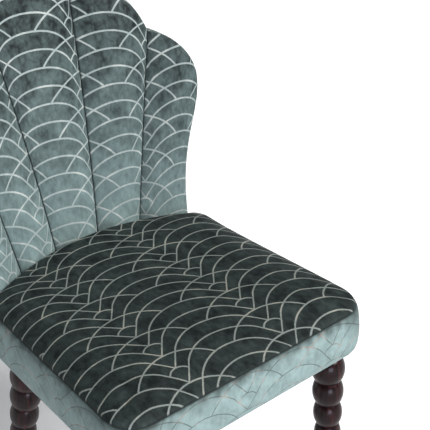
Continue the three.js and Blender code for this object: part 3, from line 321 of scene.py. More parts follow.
# Seat top: one crowned panel of figured velvet over a foam block, sewn to the border
# all round with a plain seam. The foam swells it, and the seam holds its edge down.
def arc_weave():
    """The velvet's drawing: how much of a woven line is at a place, from the place in mm of cloth."""
    group = bpy.data.node_groups.new("arc_weave", "ShaderNodeTree")
    group.interface.new_socket("Cloth", in_out="INPUT", socket_type="NodeSocketVector")
    group.interface.new_socket("Width", in_out="INPUT", socket_type="NodeSocketFloat")
    group.interface.new_socket("Line", in_out="OUTPUT", socket_type="NodeSocketFloat")
    way_in = group.nodes.new("NodeGroupInput")
    way_out = group.nodes.new("NodeGroupOutput")
    flat = add(group, "SeparateXYZ", {"Vector": way_in.outputs["Cloth"]})
    column, pitch = 182.4, 31.2       # mm between columns of great arcs, and between arcs
    great, small = 92.0, 20.8         # mm radii of the arcs
    node_drop = 59.4                  # mm from an apex down to the node half a column away
    found = {"u": flat.outputs["X"], "v": flat.outputs["Y"]}

    def worked(steps):
        """Does sums in turn, each (name, operation, first, second), and gives the last."""
        for name, operation, first, second in steps:
            found[name] = add(group, "Math", {
                "operation": operation, 0: found.get(first, first), 1: found.get(second, second)})
        return found[name]

    def lesser(radius, rise, reach, stop):
        """The gap from an arc round the node between two columns, one in every two pitches."""
        return worked([
            ("round", "MINIMUM", "b", reach),
            ("square", "MULTIPLY", "round", "round"),
            ("rest", "SUBTRACT", radius ** 2, "square"),
            ("root", "SQRT", "rest", 0),
            ("high", "ADD", "v", rise),
            ("level", "SUBTRACT", "high", "root"),
            ("away", "PINGPONG", "level", pitch),
            ("tilt", "DIVIDE", "root", radius),
            ("near", "MULTIPLY", "away", "tilt"),
            ("out", "GREATER_THAN", "b", stop),
            ("far", "MULTIPLY", "out", 100),
            ("gap", "ADD", "near", "far")])

    # a and b are mm across from the nearest column and the nearest node. The great arc is
    # round to 65 mm and then falls straight, 1.24 mm for each mm.
    round_to, fall = 65, 1.24
    found["great"] = worked([
        ("a", "PINGPONG", "u", column / 2),
        ("b", "SUBTRACT", column / 2, "a"),
        ("round", "MINIMUM", "a", round_to),
        ("square", "MULTIPLY", "round", "round"),
        ("rest", "SUBTRACT", great ** 2, "square"),
        ("root", "SQRT", "rest", 0),
        ("past", "SUBTRACT", "a", "round"),
        ("run", "MULTIPLY", "past", fall),
        ("drop", "SUBTRACT", "run", "root"),
        ("high", "ADD", "v", great),
        ("level", "ADD", "high", "drop"),
        ("away", "PINGPONG", "level", pitch / 2),
        ("tilt", "DIVIDE", "root", great),
        ("gap", "MULTIPLY", "away", "tilt")])
    found["second"] = lesser(great, node_drop + 1 + great - pitch, column / 2, 72.3)
    found["third"] = lesser(small, node_drop + small, 20.7, 17)
    gap = worked([("nearer", "MINIMUM", "great", "second"), ("gap", "MINIMUM", "nearer", "third")])
    # The woven edge of a line wanders by under a millimetre, and a thread drops out here and there.
    rag = add(group, "TexNoise", {
        "Scale": 0.35, "Detail": 3, "Roughness": 0.7, "Vector": way_in.outputs["Cloth"]})
    wander = add(group, "Math", {"operation": "MULTIPLY_ADD", 0: rag, 1: 1.7, 2: -0.85})
    ragged = add(group, "Math", {"operation": "ADD", 0: gap, 1: wander})
    half = add(group, "Math", {"operation": "MULTIPLY", 0: way_in.outputs["Width"], 1: 0.5})
    soft = 0.45                       # mm over which a line's edge fades
    inner = add(group, "Math", {"operation": "SUBTRACT", 0: half, 1: soft})
    outer = add(group, "Math", {"operation": "ADD", 0: half, 1: soft})
    line = add(group, "MapRange", {
        "interpolation_type": "SMOOTHSTEP", "To Min": 1, "To Max": 0, "Value": ragged,
        "From Min": inner, "From Max": outer})
    group.links.new(line.outputs["Result"], way_out.inputs["Line"])
    return group


weave = arc_weave()


def figured_velvet(name, pile_shaded_and_lit, line, width, sheen_and_shade_stops, streaks, sheen):
    """Cut velvet: a brushed pile between flat woven lines, width mm wide. The first colours are the pile
    in painted shade and in painted sheen, line the woven line's, and the stops (mm up the cloth, share
    of the sheen colour) paint the sheen and shade up the cloth. streaks is how far strokes and patches
    stray."""
    finish, tree = new_finish(name)
    place = add(tree, "UVMap", {"uv_map": "cloth"})
    cloth = add(tree, "Mapping", {"Scale": (1000, 1000, 1000), "Vector": place})
    drawn = add(tree, "Group", {"node_tree": weave, "Cloth": cloth})
    drawn.inputs["Width"].default_value = width
    # The hand leaves strokes 9 mm wide and 14 mm long, and broad patches of 35 mm.
    stroked = add(tree, "Mapping", {"Scale": (1 / 9, 1 / 14, 1), "Vector": cloth})
    streak = add(tree, "TexNoise", {
        "Scale": 1, "Detail": 3, "Roughness": 0.6, "Distortion": 0.4, "Vector": stroked})
    patch = add(tree, "TexNoise", {
        "Scale": 1 / 35, "Detail": 2, "Roughness": 0.5, "Distortion": 0.4, "Vector": cloth})
    flat = add(tree, "SeparateXYZ", {"Vector": cloth})
    # Painted sheen and shade: the pile goes from its shaded colour to its lit colour by height up the cloth,
    # stirred by the strokes and patches.
    low, high = sheen_and_shade_stops[0][0], sheen_and_shade_stops[-1][0]
    level = add(tree, "MapRange", {"From Min": low, "From Max": high, "Value": flat.outputs["Y"]})
    grey = [((up - low) / (high - low), "#" + 3 * f"{round(255 * share):02x}") for up, share in sheen_and_shade_stops]
    painted_sheen_by_height = add(tree, "ValToRGB", {"stops": grey, "Fac": level})
    painted_sheen_share_by_height = add(tree, "Gamma", {"Gamma": 1 / 2.2, "Color": painted_sheen_by_height})
    ruffled = add(tree, "Math", {"operation": "MULTIPLY_ADD", 0: streak, 1: streaks, 2: -0.5 * streaks})
    patched = add(tree, "Math", {
        "operation": "MULTIPLY_ADD", 0: patch, 1: 1.1 * streaks, 2: -0.55 * streaks})
    together = add(tree, "Math", {"operation": "ADD", 0: ruffled, 1: patched})
    painted_sheen_share = add(tree, "Math", {"operation": "ADD", "use_clamp": True, 0: together, 1: painted_sheen_share_by_height})
    ground = add(tree, "Mix", {"data_type": "RGBA", 0: painted_sheen_share, 6: linear(pile_shaded_and_lit[0]), 7: linear(pile_shaded_and_lit[1])})
    tint = add(tree, "MapRange", {"From Min": 0.5, "From Max": 0.64, "Value": patch})
    thread = add(tree, "Mix", {"data_type": "RGBA", 0: tint, 6: linear(line[0]), 7: linear(line[1])})
    colour = add(tree, "Mix", {
        "data_type": "RGBA", 0: drawn, 6: ground.outputs[2], 7: thread.outputs[2]})
    # Painted shade in the seams' creases and in the marked blotches: the colour darkens to near black.
    seam = add(tree, "Attribute", {"attribute_name": "seam"})
    near_seam = add(tree, "Math", {"operation": "MULTIPLY", 0: seam.outputs["Fac"], 1: 0.9})
    seam_shaded_colour = add(tree, "Mix", {
        "data_type": "RGBA", 0: near_seam, 6: colour.outputs[2], 7: linear("#0a1010")})
    # Pile tufts of about 1 mm, coarser than the real 0.3 mm so that they show. Lines lie 0.5 mm lower.
    tufts = add(tree, "TexNoise", {"Scale": 0.9, "Detail": 2, "Vector": cloth})
    sunk = add(tree, "Math", {"operation": "MULTIPLY", 0: drawn, 1: -0.5})
    height = add(tree, "Math", {"operation": "MULTIPLY_ADD", 0: tufts, 1: 0.35, 2: sunk})
    relief = add(tree, "Bump", {"Strength": 0.45, "Distance": 0.001, "Height": height})
    dull = add(tree, "MapRange", {"To Min": 0.72, "To Max": 0.5, "Value": drawn})
    velvet = add(tree, "BsdfPrincipled", {
        "Specular IOR Level": 0.18, "Sheen Weight": sheen, "Sheen Roughness": 0.35,
        "Sheen Tint": linear("#d5e2e4"), "Base Color": seam_shaded_colour.outputs[2], "Roughness": dull,
        "Normal": relief})
    add(tree, "OutputMaterial", {"Surface": velvet})
    return finish


# On the seat the pile is painted in shade, a deep green-black; the lines are cream.
seat_velvet = figured_velvet(
    "figured_velvet_seat", ("#0e1515", "#384443"), ("#747c79", "#8b8d85"), 2.6,
    [(-200, 0.27), (60, 0.33), (180, 0.33), (270, 0.25)], streaks=1.1, sheen=0.04)


def backing(bm):
    """Doubles the net behind itself, joined round its rim, and gives the points of the rear layer."""
    both = bmesh.ops.extrude_face_region(bm, geom=bm.faces[:], use_keep_orig=True)["geom"]
    return [point for point in both if isinstance(point, bmesh.types.BMVert)]


filling_frames = 20


def fill_out(piece, pressure, cap):
    """Air pressure swells the pad, which its seams hold. No point moves further than cap, in metres."""
    rest = [point.co.copy() for point in piece.data.vertices]
    cloth = piece.modifiers.new("Cloth", "CLOTH")
    cloth.settings.quality = 4
    cloth.settings.mass = 0.4
    cloth.settings.tension_stiffness = cloth.settings.compression_stiffness = 25
    cloth.settings.bending_stiffness = 1.5
    cloth.settings.use_pressure = True
    cloth.settings.uniform_pressure_force = pressure
    cloth.settings.vertex_group_mass = "sewn"
    cloth.settings.effector_weights.gravity = 0
    cloth.collision_settings.use_collision = False
    cloth.point_cache.frame_end = filling_frames
    for number in range(1, filling_frames + 1):
        scene.frame_set(number)
    swollen = piece.evaluated_get(bpy.context.evaluated_depsgraph_get())
    moved = [point.co.copy() for point in swollen.data.vertices]
    piece.modifiers.remove(cloth)
    for point, start, end in zip(piece.data.vertices, rest, moved):
        step = end - start
        point.co = start + step * min(1, cap / max(step.length, 1e-9))
    scene.frame_set(1)


def smoothed(piece):
    """Subdivides the finished piece once more."""
    surface = piece.modifiers.new("Smooth", "SUBSURF")
    surface.levels = surface.render_levels = 1


def sewn(piece, held):
    """Marks the points, by number, that seams or tacks hold, for the filling."""
    group = piece.vertex_groups.new(name="sewn")
    group.add(held, 1, "REPLACE")


seat_crown = 0.016                     # before the filling swells it by up to 5 mm more
side_lift, seat_lift = 0.003, 0.019    # how far the seam climbs along the sides and at the back
edge_roll, edge_drop = 0.011, 0.0035   # the panel turns down this far in, and this far
middle_reach = 0.23                    # from the seat's middle to its edge, about
seat_edge = seat_plan(0)
seat_middle = Vector((0, seat_depth / 2))
edge_loop = seat_edge[0] + seat_edge[1][1:] + seat_edge[2][::-1][1:]


def reach_share(x, y):
    """How far a place is from the seat's middle, as a share of the way to the edge."""
    aim = Vector((abs(x), y)) - seat_middle
    if aim.length < 1e-6:
        return 0.0
    for a, b in zip(edge_loop, edge_loop[1:]):
        side = b - a
        cross = aim.x * side.y - aim.y * side.x
        if abs(cross) < 1e-12:
            continue
        start = a - seat_middle
        reach = (start.x * side.y - start.y * side.x) / cross
        spot = (start.x * aim.y - start.y * aim.x) / cross
        if reach > 0 and -1e-6 <= spot <= 1 + 1e-6:
            return min(1 / reach, 1)
    return 1.0


def clamped(share):
    return min(max(share, 0), 1)


def seat_rise(y):
    """How far the seat's seam climbs from the front, a little along the sides and more at the back."""
    climb = side_lift * math.sin(math.pi / 2 * clamped(y / 0.09))
    return climb + seat_lift * max(y / seat_depth, 0) ** 7


def seat_top_height(x, y):
    """The height of the seat's top at a place: its crown, its rolled edge and the foam's lumps."""
    share = reach_share(x, y)
    # Against the lobes the foam is packed tight, and the edge doesn't turn down.
    packed = clamped((y - 0.34) / 0.05) * clamped((0.2 - abs(x)) / 0.02)
    roll = max(1 - (1 - share) * middle_reach / edge_roll, 0) ** 2 * (1 - packed)
    lumps = 0.0012 * noise.noise(Vector((x, y, 0)) * 16) * (1 - share ** 4)
    # The foam is fuller under the sides than under the front.
    across, deep = (x / seat_half_front) ** 2, ((y - seat_middle.y) / seat_middle.y) ** 2
    full = 2.6 + 13.4 * across / max(across + deep, 1e-9)
    return seam_height + seat_rise(y) + seat_crown * (1 - share ** full) - edge_drop * roll + lumps


bm = bmesh.new()
bm.verts.layers.float.new("seam")
points, share = net(bm, 76, 76)
seam = bm.verts.layers.float["seam"]
crowding = 0.28                        # how far the net's points crowd toward the seams
crowd = lambda s: (1 - crowding) * s + crowding * (1 - math.cos(math.pi * s)) / 2
for point in points:
    x, y = seat_place(seat_edge, crowd(point[share].x), crowd(point[share].y))
    reach = reach_share(x, y)
    # Painted shade darkens the points on the seam at the panel's edge.
    point[seam] = 1 if reach > 0.998 else 0
    # Along the sides the foam hangs over its seam a little.
    overhang = 0.0022 * max(1 - abs(reach - 0.978) / 0.022, 0) * min(abs(x) / 0.2, 1) ** 4
    point.co = (x + math.copysign(overhang, x), front_seam_y + y, seat_top_height(x, y))


def seat_cloth(x, y):
    """The cloth at a place of the seat: laid a little askew, and drawn down over the crown."""
    across = x + 0.0118 - 0.0349 * x + 0.0391 * y + 0.0999 * x * x + 0.1271 * x * y
    back = (front_seam_y + y + 0.1354 + 0.0113 * x - 0.0108 * y
            + 0.2235 * x * x - 0.0444 * x * y + 0.1433 * y * y)
    return across, back


lay_cloth(bm, lambda point: seat_cloth(point.co.x, point.co.y - front_seam_y))
pad_bottom, undercut = hessian_top + 0.0004, 0.0035
for point in backing(bm):
    inward = Vector((point.co.x, point.co.y - front_seam_y - seat_middle.y)).normalized() * undercut
    point.co = (point.co.x - inward.x, point.co.y - inward.y, pad_bottom)
seat_top = finished("seat_top_pad", bm, seat_velvet)
sewn(seat_top, [p.index for p in seat_top.data.vertices if p.co.z < seam_height - 0.006
                or reach_share(p.co.x, p.co.y - front_seam_y) > 0.985])
fill_out(seat_top, 3.5, 0.005)
smoothed(seat_top)
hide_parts("seat_top_cover", "seat_foam")


# Seat border: one band of the velvet round the front and sides and onto the rear
# corners, sewn to the top panel, pulled over the rails and tacked underneath.
border_drop = 0.085
border_end_x = 0.177                   # where the band ends, on the rear edge
figure_across, figure_up = 0.1154, 0.0161   # where the drawing starts on the band


def thickened(piece):
    """The velvet's own thickness, inward."""
    wall = piece.modifiers.new("Thickness", "SOLIDIFY")
    wall.thickness, wall.offset = 0.0012, -1


# On the border the pile is painted pale as a painted sheen, and the lines are painted dark, some of
# # them pinkish. The roll under the seam is painted darker, as painted shade.
border_velvet = figured_velvet(
    "figured_velvet_border", ("#303d3d", "#7a8d8c"), ("#46524f", "#8b7c74"), 1.5,
    [(0, 0.76), (50, 0.84), (82, 0.82), (90, 0.66), (95, 0.5), (98, 0.6), (101, 0.4)],
    streaks=0.7, sheen=0.1)

half_loop = [p for p in seat_edge[2] if p.x >= border_end_x]
half_loop += seat_edge[1][::-1][1:] + seat_edge[0][::-1][1:]
whole_loop = half_loop + [Vector((-p.x, p.y)) for p in half_loop[::-1][1:]]
girth = sum((b - a).length for a, b in zip(whole_loop, whole_loop[1:]))
# Out from the line of the border, and height above its foot, from the seam down and under.
border_section = [
    (-0.0030, 0.0814), (-0.0006, 0.0810), (0.0018, 0.0785), (0.0040, 0.0725), (0.0058, 0.0630),
    (0.0072, 0.0520), (0.0080, 0.0425), (0.0082, 0.0330), (0.0078, 0.0220), (0.0066, 0.0125),
    (0.0046, 0.0060), (0.0016, 0.0018), (-0.0020, 0.0002), (-0.0070, 0.0000), (-0.0095, 0.0000)]
bm = bmesh.new()
bm.verts.layers.float.new("seam")
points, share = net(bm, 150, len(border_section) - 1)
seam = bm.verts.layers.float["seam"]
cloth_place = {}
drops = [0.0]
for a, b in zip(border_section, border_section[1:]):
    drops.append(drops[-1] + math.hypot(b[0] - a[0], b[1] - a[1]))
for point in points:
    s, t, _ = point[share]
    row = round(t * (len(border_section) - 1))
    out, up = border_section[row]
    here = along(whole_loop, s)
    # Painted shade: the two rows at the seam are darkened fully, and blotches just under the seam
    #     # and the turn of the front corners in part.
    near_top = max(1 - (border_section[0][1] - up) / 0.024, 0)
    blotch_shade = max(noise.noise(Vector((s * 90, up * 55, 9))) + 0.2, 0) * near_top * 1.3
    from_corner = math.hypot(abs(here.x) - 0.232, here.y - 0.006)
    corner_shade = 0.5 * max(1 - from_corner / 0.045, 0) * min(up / 0.05, 1)
    point[seam] = 1 if row < 2 else min(blotch_shade + corner_shade, 0.6)
    ahead, behind = along(whole_loop, min(s + 0.004, 1)), along(whole_loop, max(s - 0.004, 0))
    tangent = (ahead - behind).normalized()
    normal = Vector((-tangent.y, tangent.x))
    if normal.dot(here - seat_middle) < 0:
        normal = -normal
    slack = 0.0009 * noise.noise(Vector((s * 60, up * 30, 3)))
    slack *= math.sin(math.pi * min(up / border_drop, 1))
    place = here + normal * (out * (1 if out < 0 else 1 - max(normal.y, 0)) + slack)
    point.co = (place.x, front_seam_y + place.y,
                seam_height - border_drop + up + seat_rise(here.y) * up / border_drop)
    cloth_place[point] = (girth * (0.5 - s) + figure_across, border_drop - drops[row] + figure_up)
lay_cloth(bm, cloth_place.get)
border = finished("seat_border", bm, border_velvet)
thickened(border)
smoothed(border)
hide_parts("seat_border_cover")


# Dust cover: black non-woven lining stapled under the seat frame over the border's
# turned edge, with a hole round each leg.
def spunbond():
    """Non-woven polypropylene: matt black, with a fine embossed dot pattern 2 mm apart."""
    finish, tree = new_finish("black_spunbond_lining")
    place = add(tree, "TexCoord", {}).outputs["Object"]
    dots = add(tree, "TexVoronoi", {"Scale": 500, "Randomness": 0.15, "Vector": place})
    fibres = add(tree, "TexNoise", {"Scale": 700, "Detail": 3, "Vector": place})
    mixed = add(tree, "Math", {"operation": "MULTIPLY", 0: dots, 1: fibres})
    shade = add(tree, "ValToRGB", {"stops": [(0.0, "#101112"), (0.5, "#232427")], "Fac": mixed})
    relief = add(tree, "Bump", {"Strength": 0.4, "Distance": 0.0003, "Height": mixed})
    cloth = add(tree, "BsdfPrincipled", {"Roughness": 0.9, "Base Color": shade, "Normal": relief})
    add(tree, "OutputMaterial", {"Surface": cloth})
    return finish


def centred(bm, low, high):
    """Moves a lining to the middle of its CAD box's thickness."""
    middle = sum(point.co.z for point in bm.verts) / len(bm.verts)
    bmesh.ops.translate(bm, verts=bm.verts[:], vec=(0, 0, (high.z + low.z) / 2 - middle))


lining = spunbond()
leg_tops = {"front_left": (-0.2047, 0.043), "front_right": (0.2047, 0.043),
            "rear_left": (-0.1845, 0.347), "rear_right": (0.1845, 0.347)}
leg_hole = 0.0319
dust_inset = 0.0056
low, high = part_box("seat_dust_cover")
dust_plan = seat_plan(dust_inset)
dust_half = dust_plan[0] + dust_plan[1][1:] + dust_plan[2][::-1][1:]
dust_loop = dust_half + [Vector((-p.x, p.y)) for p in dust_half[::-1][1:-1]]
bm = bmesh.new()
rim = [bm.verts.new((p.x, front_seam_y + p.y, high.z)) for p in dust_loop]
edges = [bm.edges.new((a, b)) for a, b in zip(rim, rim[1:] + rim[:1])]
for x, y in leg_tops.values():
    hole = bmesh.ops.create_circle(bm, segments=40, radius=leg_hole)["verts"]
    bmesh.ops.translate(bm, verts=hole, vec=(x, front_seam_y + y, high.z))
    edges += list({edge for point in hole for edge in point.link_edges})
bmesh.ops.triangle_fill(bm, edges=edges, use_beauty=True, use_dissolve=False)
lay_cloth(bm)
bmesh.ops.solidify(bm, geom=bm.faces[:], thickness=(high.z - low.z) * 0.9)
centred(bm, low, high)
dust_cover = finished("seat_dust_sheet", bm, lining, smooth=False)
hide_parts("seat_dust_cover")


# Legs: beech bobbins turned in one piece, stained dark and lacquered to a satin gloss,
# each screwed into its post by a hanger bolt. The rear pair rake back.
leg_wood = timber("dark_stained_beech_satin_lacquer", ("#050304", "#1b0b0d", "#3d1a1c"), 0.004, 0.3,
                  shine=0.05, coat=0.24, coat_roughness=0.17, lathe_lines=0.2)
leg_top_diameter, leg_foot_diameter, bobbins = 0.061, 0.0318, 8
half_bobbin, shorter = 0.54, 0.0314   # the half bobbin at the top, and what each loses, in first bobbins
bobbin_round = 1.47                   # the oval that a bobbin is cut from, in half lengths of the bobbin
spare = 0.012                         # turned past both ends, and sawn off
leg_top_z, leg_foot_z = 0.3718, 0.004
leg_feet = {"front_left": (-0.2117, 0.031), "front_right": (0.2117, 0.031),
            "rear_left": (-0.1875, 0.424), "rear_right": (0.1875, 0.424)}


def bobbin_line(length):
    """Radii and distances down the leg, from above the half bobbin at its top."""
    weights = [1 - shorter * i for i in range(bobbins)]
    unit = length / (half_bobbin + sum(weights))
    radii = [(leg_top_diameter + (leg_foot_diameter - leg_top_diameter) * (i + 1) / bobbins) / 2
             for i in range(bobbins)]
    swell = lambda radius, share: radius * math.sqrt(1 - (share / bobbin_round) ** 2)
    line = [(0, -spare), (leg_top_diameter / 2, -spare)]
    line += [(swell(leg_top_diameter / 2, i / 6), unit * half_bobbin * i / 6) for i in range(6)]
    down = unit * half_bobbin
    for i, weight in enumerate(weights):
        neck = swell(radii[0] if i == 0 else (radii[i - 1] + radii[i]) / 2, 1)
        line.append((neck - 0.0006, down))
        for j in range(1, 14):
            share = math.sin(math.pi / 2 * (2 * j / 14 - 1))
            line.append((swell(radii[i], share), down + unit * weight * (1 + share) / 2))
        down += unit * weight
    line += [(swell(radii[-1], 1), down), (swell(radii[-1], 1), down + spare), (0, down + spare)]
    return line


def turned(line, steps):
    """A solid turned on the upright axis, from radii and heights along it."""
    bm = bmesh.new()
    points = [bm.verts.new((radius, 0, height)) for radius, height in line]
    edges = [bm.edges.new(pair) for pair in zip(points, points[1:])]
    bmesh.ops.spin(bm, geom=points + edges, cent=(0, 0, 0), axis=(0, 0, 1), angle=2 * math.pi,
                   steps=steps, use_merge=True)
    bmesh.ops.remove_doubles(bm, verts=bm.verts[:], dist=1e-6)
    return bm


for name, (x, y) in leg_tops.items():
    top = Vector((x, front_seam_y + y, leg_top_z))
    foot = Vector((leg_feet[name][0], front_seam_y + leg_feet[name][1], leg_foot_z))
    bm = turned([(radius, -down) for radius, down in bobbin_line((foot - top).length)], 56)
    lean = Vector((0, 0, -1)).rotation_difference(foot - top).to_matrix()
    bmesh.ops.rotate(bm, cent=(0, 0, 0), matrix=lean, verts=bm.verts[:])
    bmesh.ops.translate(bm, vec=top, verts=bm.verts[:])
    # The top and foot are sawn level, so that a raked leg sits flat.
    for height, clears in ((leg_top_z - 0.0003, "clear_outer"), (leg_foot_z + 0.0003, "clear_inner")):
        sawn = bmesh.ops.bisect_plane(
            bm, geom=bm.verts[:] + bm.edges[:] + bm.faces[:], plane_co=(0, 0, height),
            plane_no=(0, 0, 1), **{clears: True})["geom_cut"]
        bmesh.ops.edgeloop_fill(bm, edges=[e for e in sawn if isinstance(e, bmesh.types.BMEdge)])
    leg = finished("bobbin_leg_" + name, bm, leg_wood)
    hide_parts("leg_" + name)


# Glides: a black nylon button under each leg, moulded with a chamfered rim and a
# recess for the nail that holds it.
# Slightly waxy black nylon, with the mould's fine texture.
nylon = speckled("black_moulded_nylon", 1500, "#161617", "#242426",
                 {"Roughness": 0.5, "IOR": 1.53}, dents=0.0002)
glide_line = [(0, 0.0008), (0.0024, 0.0008), (0.0026, 0.0), (0.0094, 0.0), (0.0102, 0.0004),
              (0.0109, 0.0013), (0.011, 0.002), (0.011, 0.004), (0, 0.004)]
for name, (x, y) in leg_feet.items():
    bm = turned(glide_line, 40)
    bmesh.ops.translate(bm, vec=(x, front_seam_y + y, 0), verts=bm.verts[:])
    button = finished("glide_button_" + name, bm, nylon, smooth=False)
    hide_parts("glide_" + name)


# Back lobes: five channels of foam under figured velvet, fanned out from the seat and
# sewn down between, each swelling from its seams and rolling over its own scallop.
back_height = 0.49
foot_y, back_lean, back_bend = 0.4498, 0.081, 0.06   # at the seat's seam, and back at the top
top_bow = 0.015                        # the bow is deeper by this at the top
widest_up = 0.258                      # the height of the back's widest place
lobe_tuck = 0.026                      # a lobe goes down this far behind the seat
valley, lobe_rear = 0.012, 0.0146      # the seams and the rear of a lobe, behind the middle surface


def back_place(x, up, behind):
    """A point behind the back's middle surface, which bows in plan and leans and bends in profile."""
    rise = max(up, 0) / back_height
    bow = (back_bow + top_bow * rise) * (x / bow_half) ** 2
    y = foot_y - bow + back_lean * rise + back_bend * rise * rise
    return Vector((x, front_seam_y + y + behind, seam_height + up))


def back_length(up):
    """Cloth from the seat's seam to a height, measured up the back."""
    slope = (back_lean + back_bend * max(up, 0) / back_height) / back_height
    return up * math.sqrt(1 + slope * slope)


outline = {name: [Vector(p) / 1000 for p in curve] for name, curve in {
    "foot": ((210, 0), (210, 147.1), (254.5, 180.6), (254.5, 258)),
    "outer": ((254.5, 258), (255, 299), (232, 324), (196, 333)),
    "inner": ((196, 333), (190.5, 383), (139, 441), (86, 427.5)),
    "middle": ((86, 427.5), (80.5, 462.5), (48, 490.5), (0, 490.5))}.items()}


def seam_place(foot_x, notch, t):
    """A point of the seam from the seat to a notch, which bends a little outward."""
    return Vector((foot_x + (notch.x - foot_x) * (0.82 * t + 0.18 * t * t), notch.y * t))


def edge_place(t):
    """A point of the back's outer edge, t of the height to the widest place."""
    low, high = 0.0, 1.0
    for _ in range(20):
        middle = (low + high) / 2
        under = bezier(outline["foot"], middle).y < t * widest_up
        low, high = (middle, high) if under else (low, middle)
    return bezier(outline["foot"], (low + high) / 2)


def lobe_sides(kind):
    """The left seam, the right seam and the scallop of a lobe, right-hand or middle."""
    inner = lambda t: seam_place(0.0445, outline["middle"][0], t)
    outer = lambda t: seam_place(0.126, outline["inner"][0], t)
    flip = lambda p: Vector((-p.x, p.y))
    middle_top = lambda s: (flip(bezier(outline["middle"], 2 * s)) if s < 0.5
                            else bezier(outline["middle"], 2 - 2 * s))
    return {"middle": (lambda t: flip(inner(t)), inner, middle_top),
            "inner": (inner, outer, lambda s: bezier(outline["inner"], 1 - s)),
            "outer": (outer, edge_place, lambda s: bezier(outline["outer"], 1 - s))}[kind]


def lobe_grid(kind, across, upward, tuck_rows, tuck, crowded):
    """A lobe's net, without mirroring: share across, share up, x and height, by column and row.
    The lowest rows go straight down behind the seat, and a crowded net is finer at its edges."""
    left, right, top = lobe_sides(kind)
    corners = (left(0), right(0), top(0), top(1))
    columns = [(1 - math.cos(math.pi * i / across)) / 2 if crowded else i / across
               for i in range(across + 1)]
    tops = [top(s) for s in columns]
    grid = {}
    for j in range(upward + 1):
        t = max(j - tuck_rows, 0) / (upward - tuck_rows)
        t = math.sin(math.pi / 2 * t) if crowded else t
        row_left, row_right = left(t), right(t)
        for i, s in enumerate(columns):
            place = blended(row_left, row_right, corners[0].lerp(corners[1], s), tops[i], corners, s, t)
            grid[i, j] = (s, t, place.x, place.y if j >= tuck_rows else -tuck * (1 - j / tuck_rows))
    return grid


def cell(shares, across, upward):
    """The column and row of a net's point."""
    return round(shares.x * across), round(shares.y * upward)


# On the back the pile carries a painted sheen and shade: nearly black-green at the scallops,
# # paling to a light blue-grey at the seat, with upright streaks where it has been brushed.
back_velvet = figured_velvet(
    "figured_velvet_back", ("#121a1a", "#778b8b"), ("#828d8c", "#9ba29f"), 3.1,
    [(-30, 0.7), (40, 0.62), (140, 0.38), (240, 0.27), (330, 0.13), (400, 0.07), (500, 0.05)],
    streaks=0.6, sheen=0.1)

# For each lobe: whether it is the mirror of the right-hand one, where the column of great
# arcs crosses its foot and how it leans per metre up, the drawing's stretch and start up
# the lobe, and how far the seams gather the cloth across it.
lobes = {
    "outer_left": ("outer", True, -0.2150, -0.0500, 1.0000, -0.0200, 1.40),
    "inner_left": ("inner", True, -0.1400, 0.0000, 0.9900, -0.0300, 1.20),
    "middle": ("middle", False, -0.0210, 0.0097, 1.0230, -0.0188, 1.18),
    "inner_right": ("inner", False, 0.1027, 0.0226, 1.0258, -0.0237, 1.26),
    "outer_right": ("outer", False, 0.1864, 0.1309, 1.0335, 0.0166, 1.68)}
lobe_across, lobe_upward, tuck_rows = 36, 88, 6
crest_foot, crest_fall, crest_tuck = 0.0185, 0.0025, 0.010   # the crest, and its loss above and below
seam_gap = 0.0003                      # a lobe stands this far off the middle of its seams
roll_foot, roll_fall, tuck_in = 0.016, 0.009, 0.007   # how the outer lobes roll out, as told below
stitch = 0.022                         # from stitch to stitch


def lobe_swell(up):
    """How far a lobe stands out of its seams at its crest."""
    if up < 0:
        return crest_foot - crest_tuck * min(-up / lobe_tuck, 1)
    return crest_foot - crest_fall * min(up / 0.06, 1)


def side_share(s, kind):
    """A lobe's profile across: soft flanks at the seams, and a full roll over the back's own edge."""
    return max(1 - abs(2 * s - 1) ** 2.1, 0) ** (0.58 if kind == "outer" and s > 0.5 else 0.72)


def lobe_cloth(s, width, crest, kind):
    """Cloth from the middle of a lobe to a share of its width, measured over the swell."""
    held = clamped(s)
    turns = [0.5 + (held - 0.5) * k / 8 for k in range(9)]
    cloth = sum(math.hypot((b - a) * width, crest * (side_share(b, kind) - side_share(a, kind)))
                for a, b in zip(turns, turns[1:]))
    return math.copysign(cloth, s - 0.5) + (s - held) * width


def rolled(kind, s, x, up):
    """Where a point of a lobe stands across. The outer lobes roll out over the edge band, most at
    the foot, and are drawn in where they pass behind the seat."""
    x = x + seam_gap * (1 - s) - seam_gap * s
    if kind == "outer":
        x += (roll_foot - roll_fall * clamped(up / 0.2)) * s ** 8 * side_share(s, kind)
        x -= tuck_in * clamped(-up / lobe_tuck) * s
    return x


